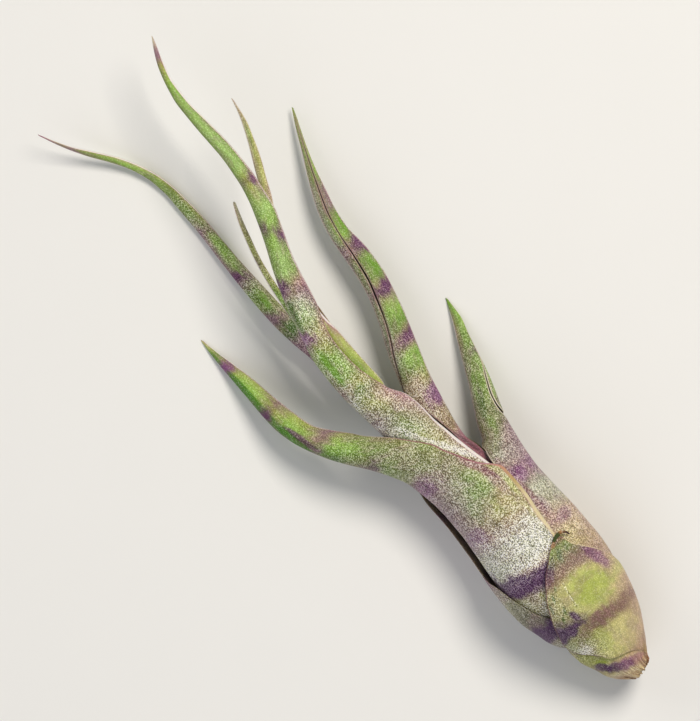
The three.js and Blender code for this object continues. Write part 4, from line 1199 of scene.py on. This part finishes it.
# Torn stem inside the collar, and the withered hook at the end of the basal scale. Each point of a
# path is x, y, z and radius; flat is the share of the radius that is left one way across, and tones
# gives the distance along the piece at which it has each tint.
stemStub = {
    "path": [
        [-75.6, -2.9, 8.6, 1.4], [-75.4, -2.9, 8.6, 1.75], [-74.4, -2.7, 8.8, 2.2],
        [-72.4, -2.4, 9.1, 2.9], [-70.2, -2.3, 9.5, 3.0], [-67.5, -2.3, 9.9, 2.2],
    ],
    "sides": 64, "rings": 60, "rough": 0.32, "flat": 1.0, "seed": 21,
    "tones": [[0, "rust"], [1.5, "brown"], [12, "brown"]],
}
dryHook = {
    "path": [
        [-46.9, -5.0, 21.85, 0.3], [-46.28, -5.66, 21.75, 0.4], [-45.62, -6.71, 21.3, 0.45],
        [-45.42, -7.83, 20.6, 0.4], [-45.81, -8.47, 19.95, 0.27], [-46.19, -8.86, 19.55, 0.22],
        [-46.75, -9.01, 19.35, 0.15],
    ],
    "sides": 28, "rings": 70, "rough": 0.3, "flat": 0.8, "seed": 22,
    "tones": [
        [0, "rust"], [0.8, "brown"], [1.15, "drying"], [2.9, "drying"], [3.25, "brown"], [3.6, "rust"],
        [4.0, "buff"], [4.3, "brown"], [5.2, "ink"],
    ],
}
dryGrain = {
    "turn": 8,  # length of the pattern once round the piece, mirrored half way so that it meets
    # how many to a unit of it, their length along the piece, and where the pattern begins
    "ridges": (2.4, 2.5, 3),
    "crumbs": (6, 0.4, 0),
    "pointLength": 0.2,
}


def makeDryRod(node, rod):
    path = [[k, *p] for k, p in enumerate(rod["path"])]
    k = np.linspace(0, len(path) - 1, rod["rings"])
    centres = np.stack([along(path, k, c) for c in (1, 2, 3)], -1)
    radius = along(path, k, 4)
    forward = np.gradient(centres, axis=0)
    forward /= np.linalg.norm(forward, axis=1, keepdims=True)
    side = np.cross([0, 0, 1], forward)
    side /= np.linalg.norm(side, axis=1, keepdims=True)
    lift = np.cross(forward, side)
    angle = np.linspace(0, 2 * np.pi, rod["sides"], endpoint=False)
    travel = np.concatenate([[0], np.cumsum(np.linalg.norm(np.diff(centres, axis=0), axis=1))])
    wrap = angle / (2 * np.pi) * dryGrain["turn"]
    mirrored = np.minimum(wrap, dryGrain["turn"] - wrap)
    ridges, crumbs = [
        softNoise(mirrored * many + start, travel[:, None] / length, rod["seed"] + more)
        for more, (many, length, start) in enumerate((dryGrain["ridges"], dryGrain["crumbs"]))]
    size = radius[:, None] * (1 - rod["rough"] * (0.5 + ridges + 0.5 * crumbs))
    upPart = np.cos(angle)[None, :, None] * lift[:, None, :] * rod["flat"]
    sidePart = np.sin(angle)[None, :, None] * side[:, None, :]
    points = centres[:, None, :] + size[..., None] * (upPart + sidePart)
    tip = centres[-1] + forward[-1] * dryGrain["pointLength"]
    piece = meshFromRings(node + "_skin", points, tip, [list(range(rod["sides"]))])
    place = np.stack(np.broadcast_arrays(travel[:, None], wrap[None, :], float(rod["seed"])), -1)
    storeOnPoints(piece, "skinPlace", place, "FLOAT_VECTOR")
    tone = tintAlong(rod["tones"], travel, 1)
    storeOnPoints(piece, "tone", np.repeat(tone[:, None], rod["sides"], 1), "FLOAT_COLOR")
    finishPiece(piece, node, dryMaterial)


makeDryRod("stem_stub", stemStub)
makeDryRod("scale_dry_tip", dryHook)
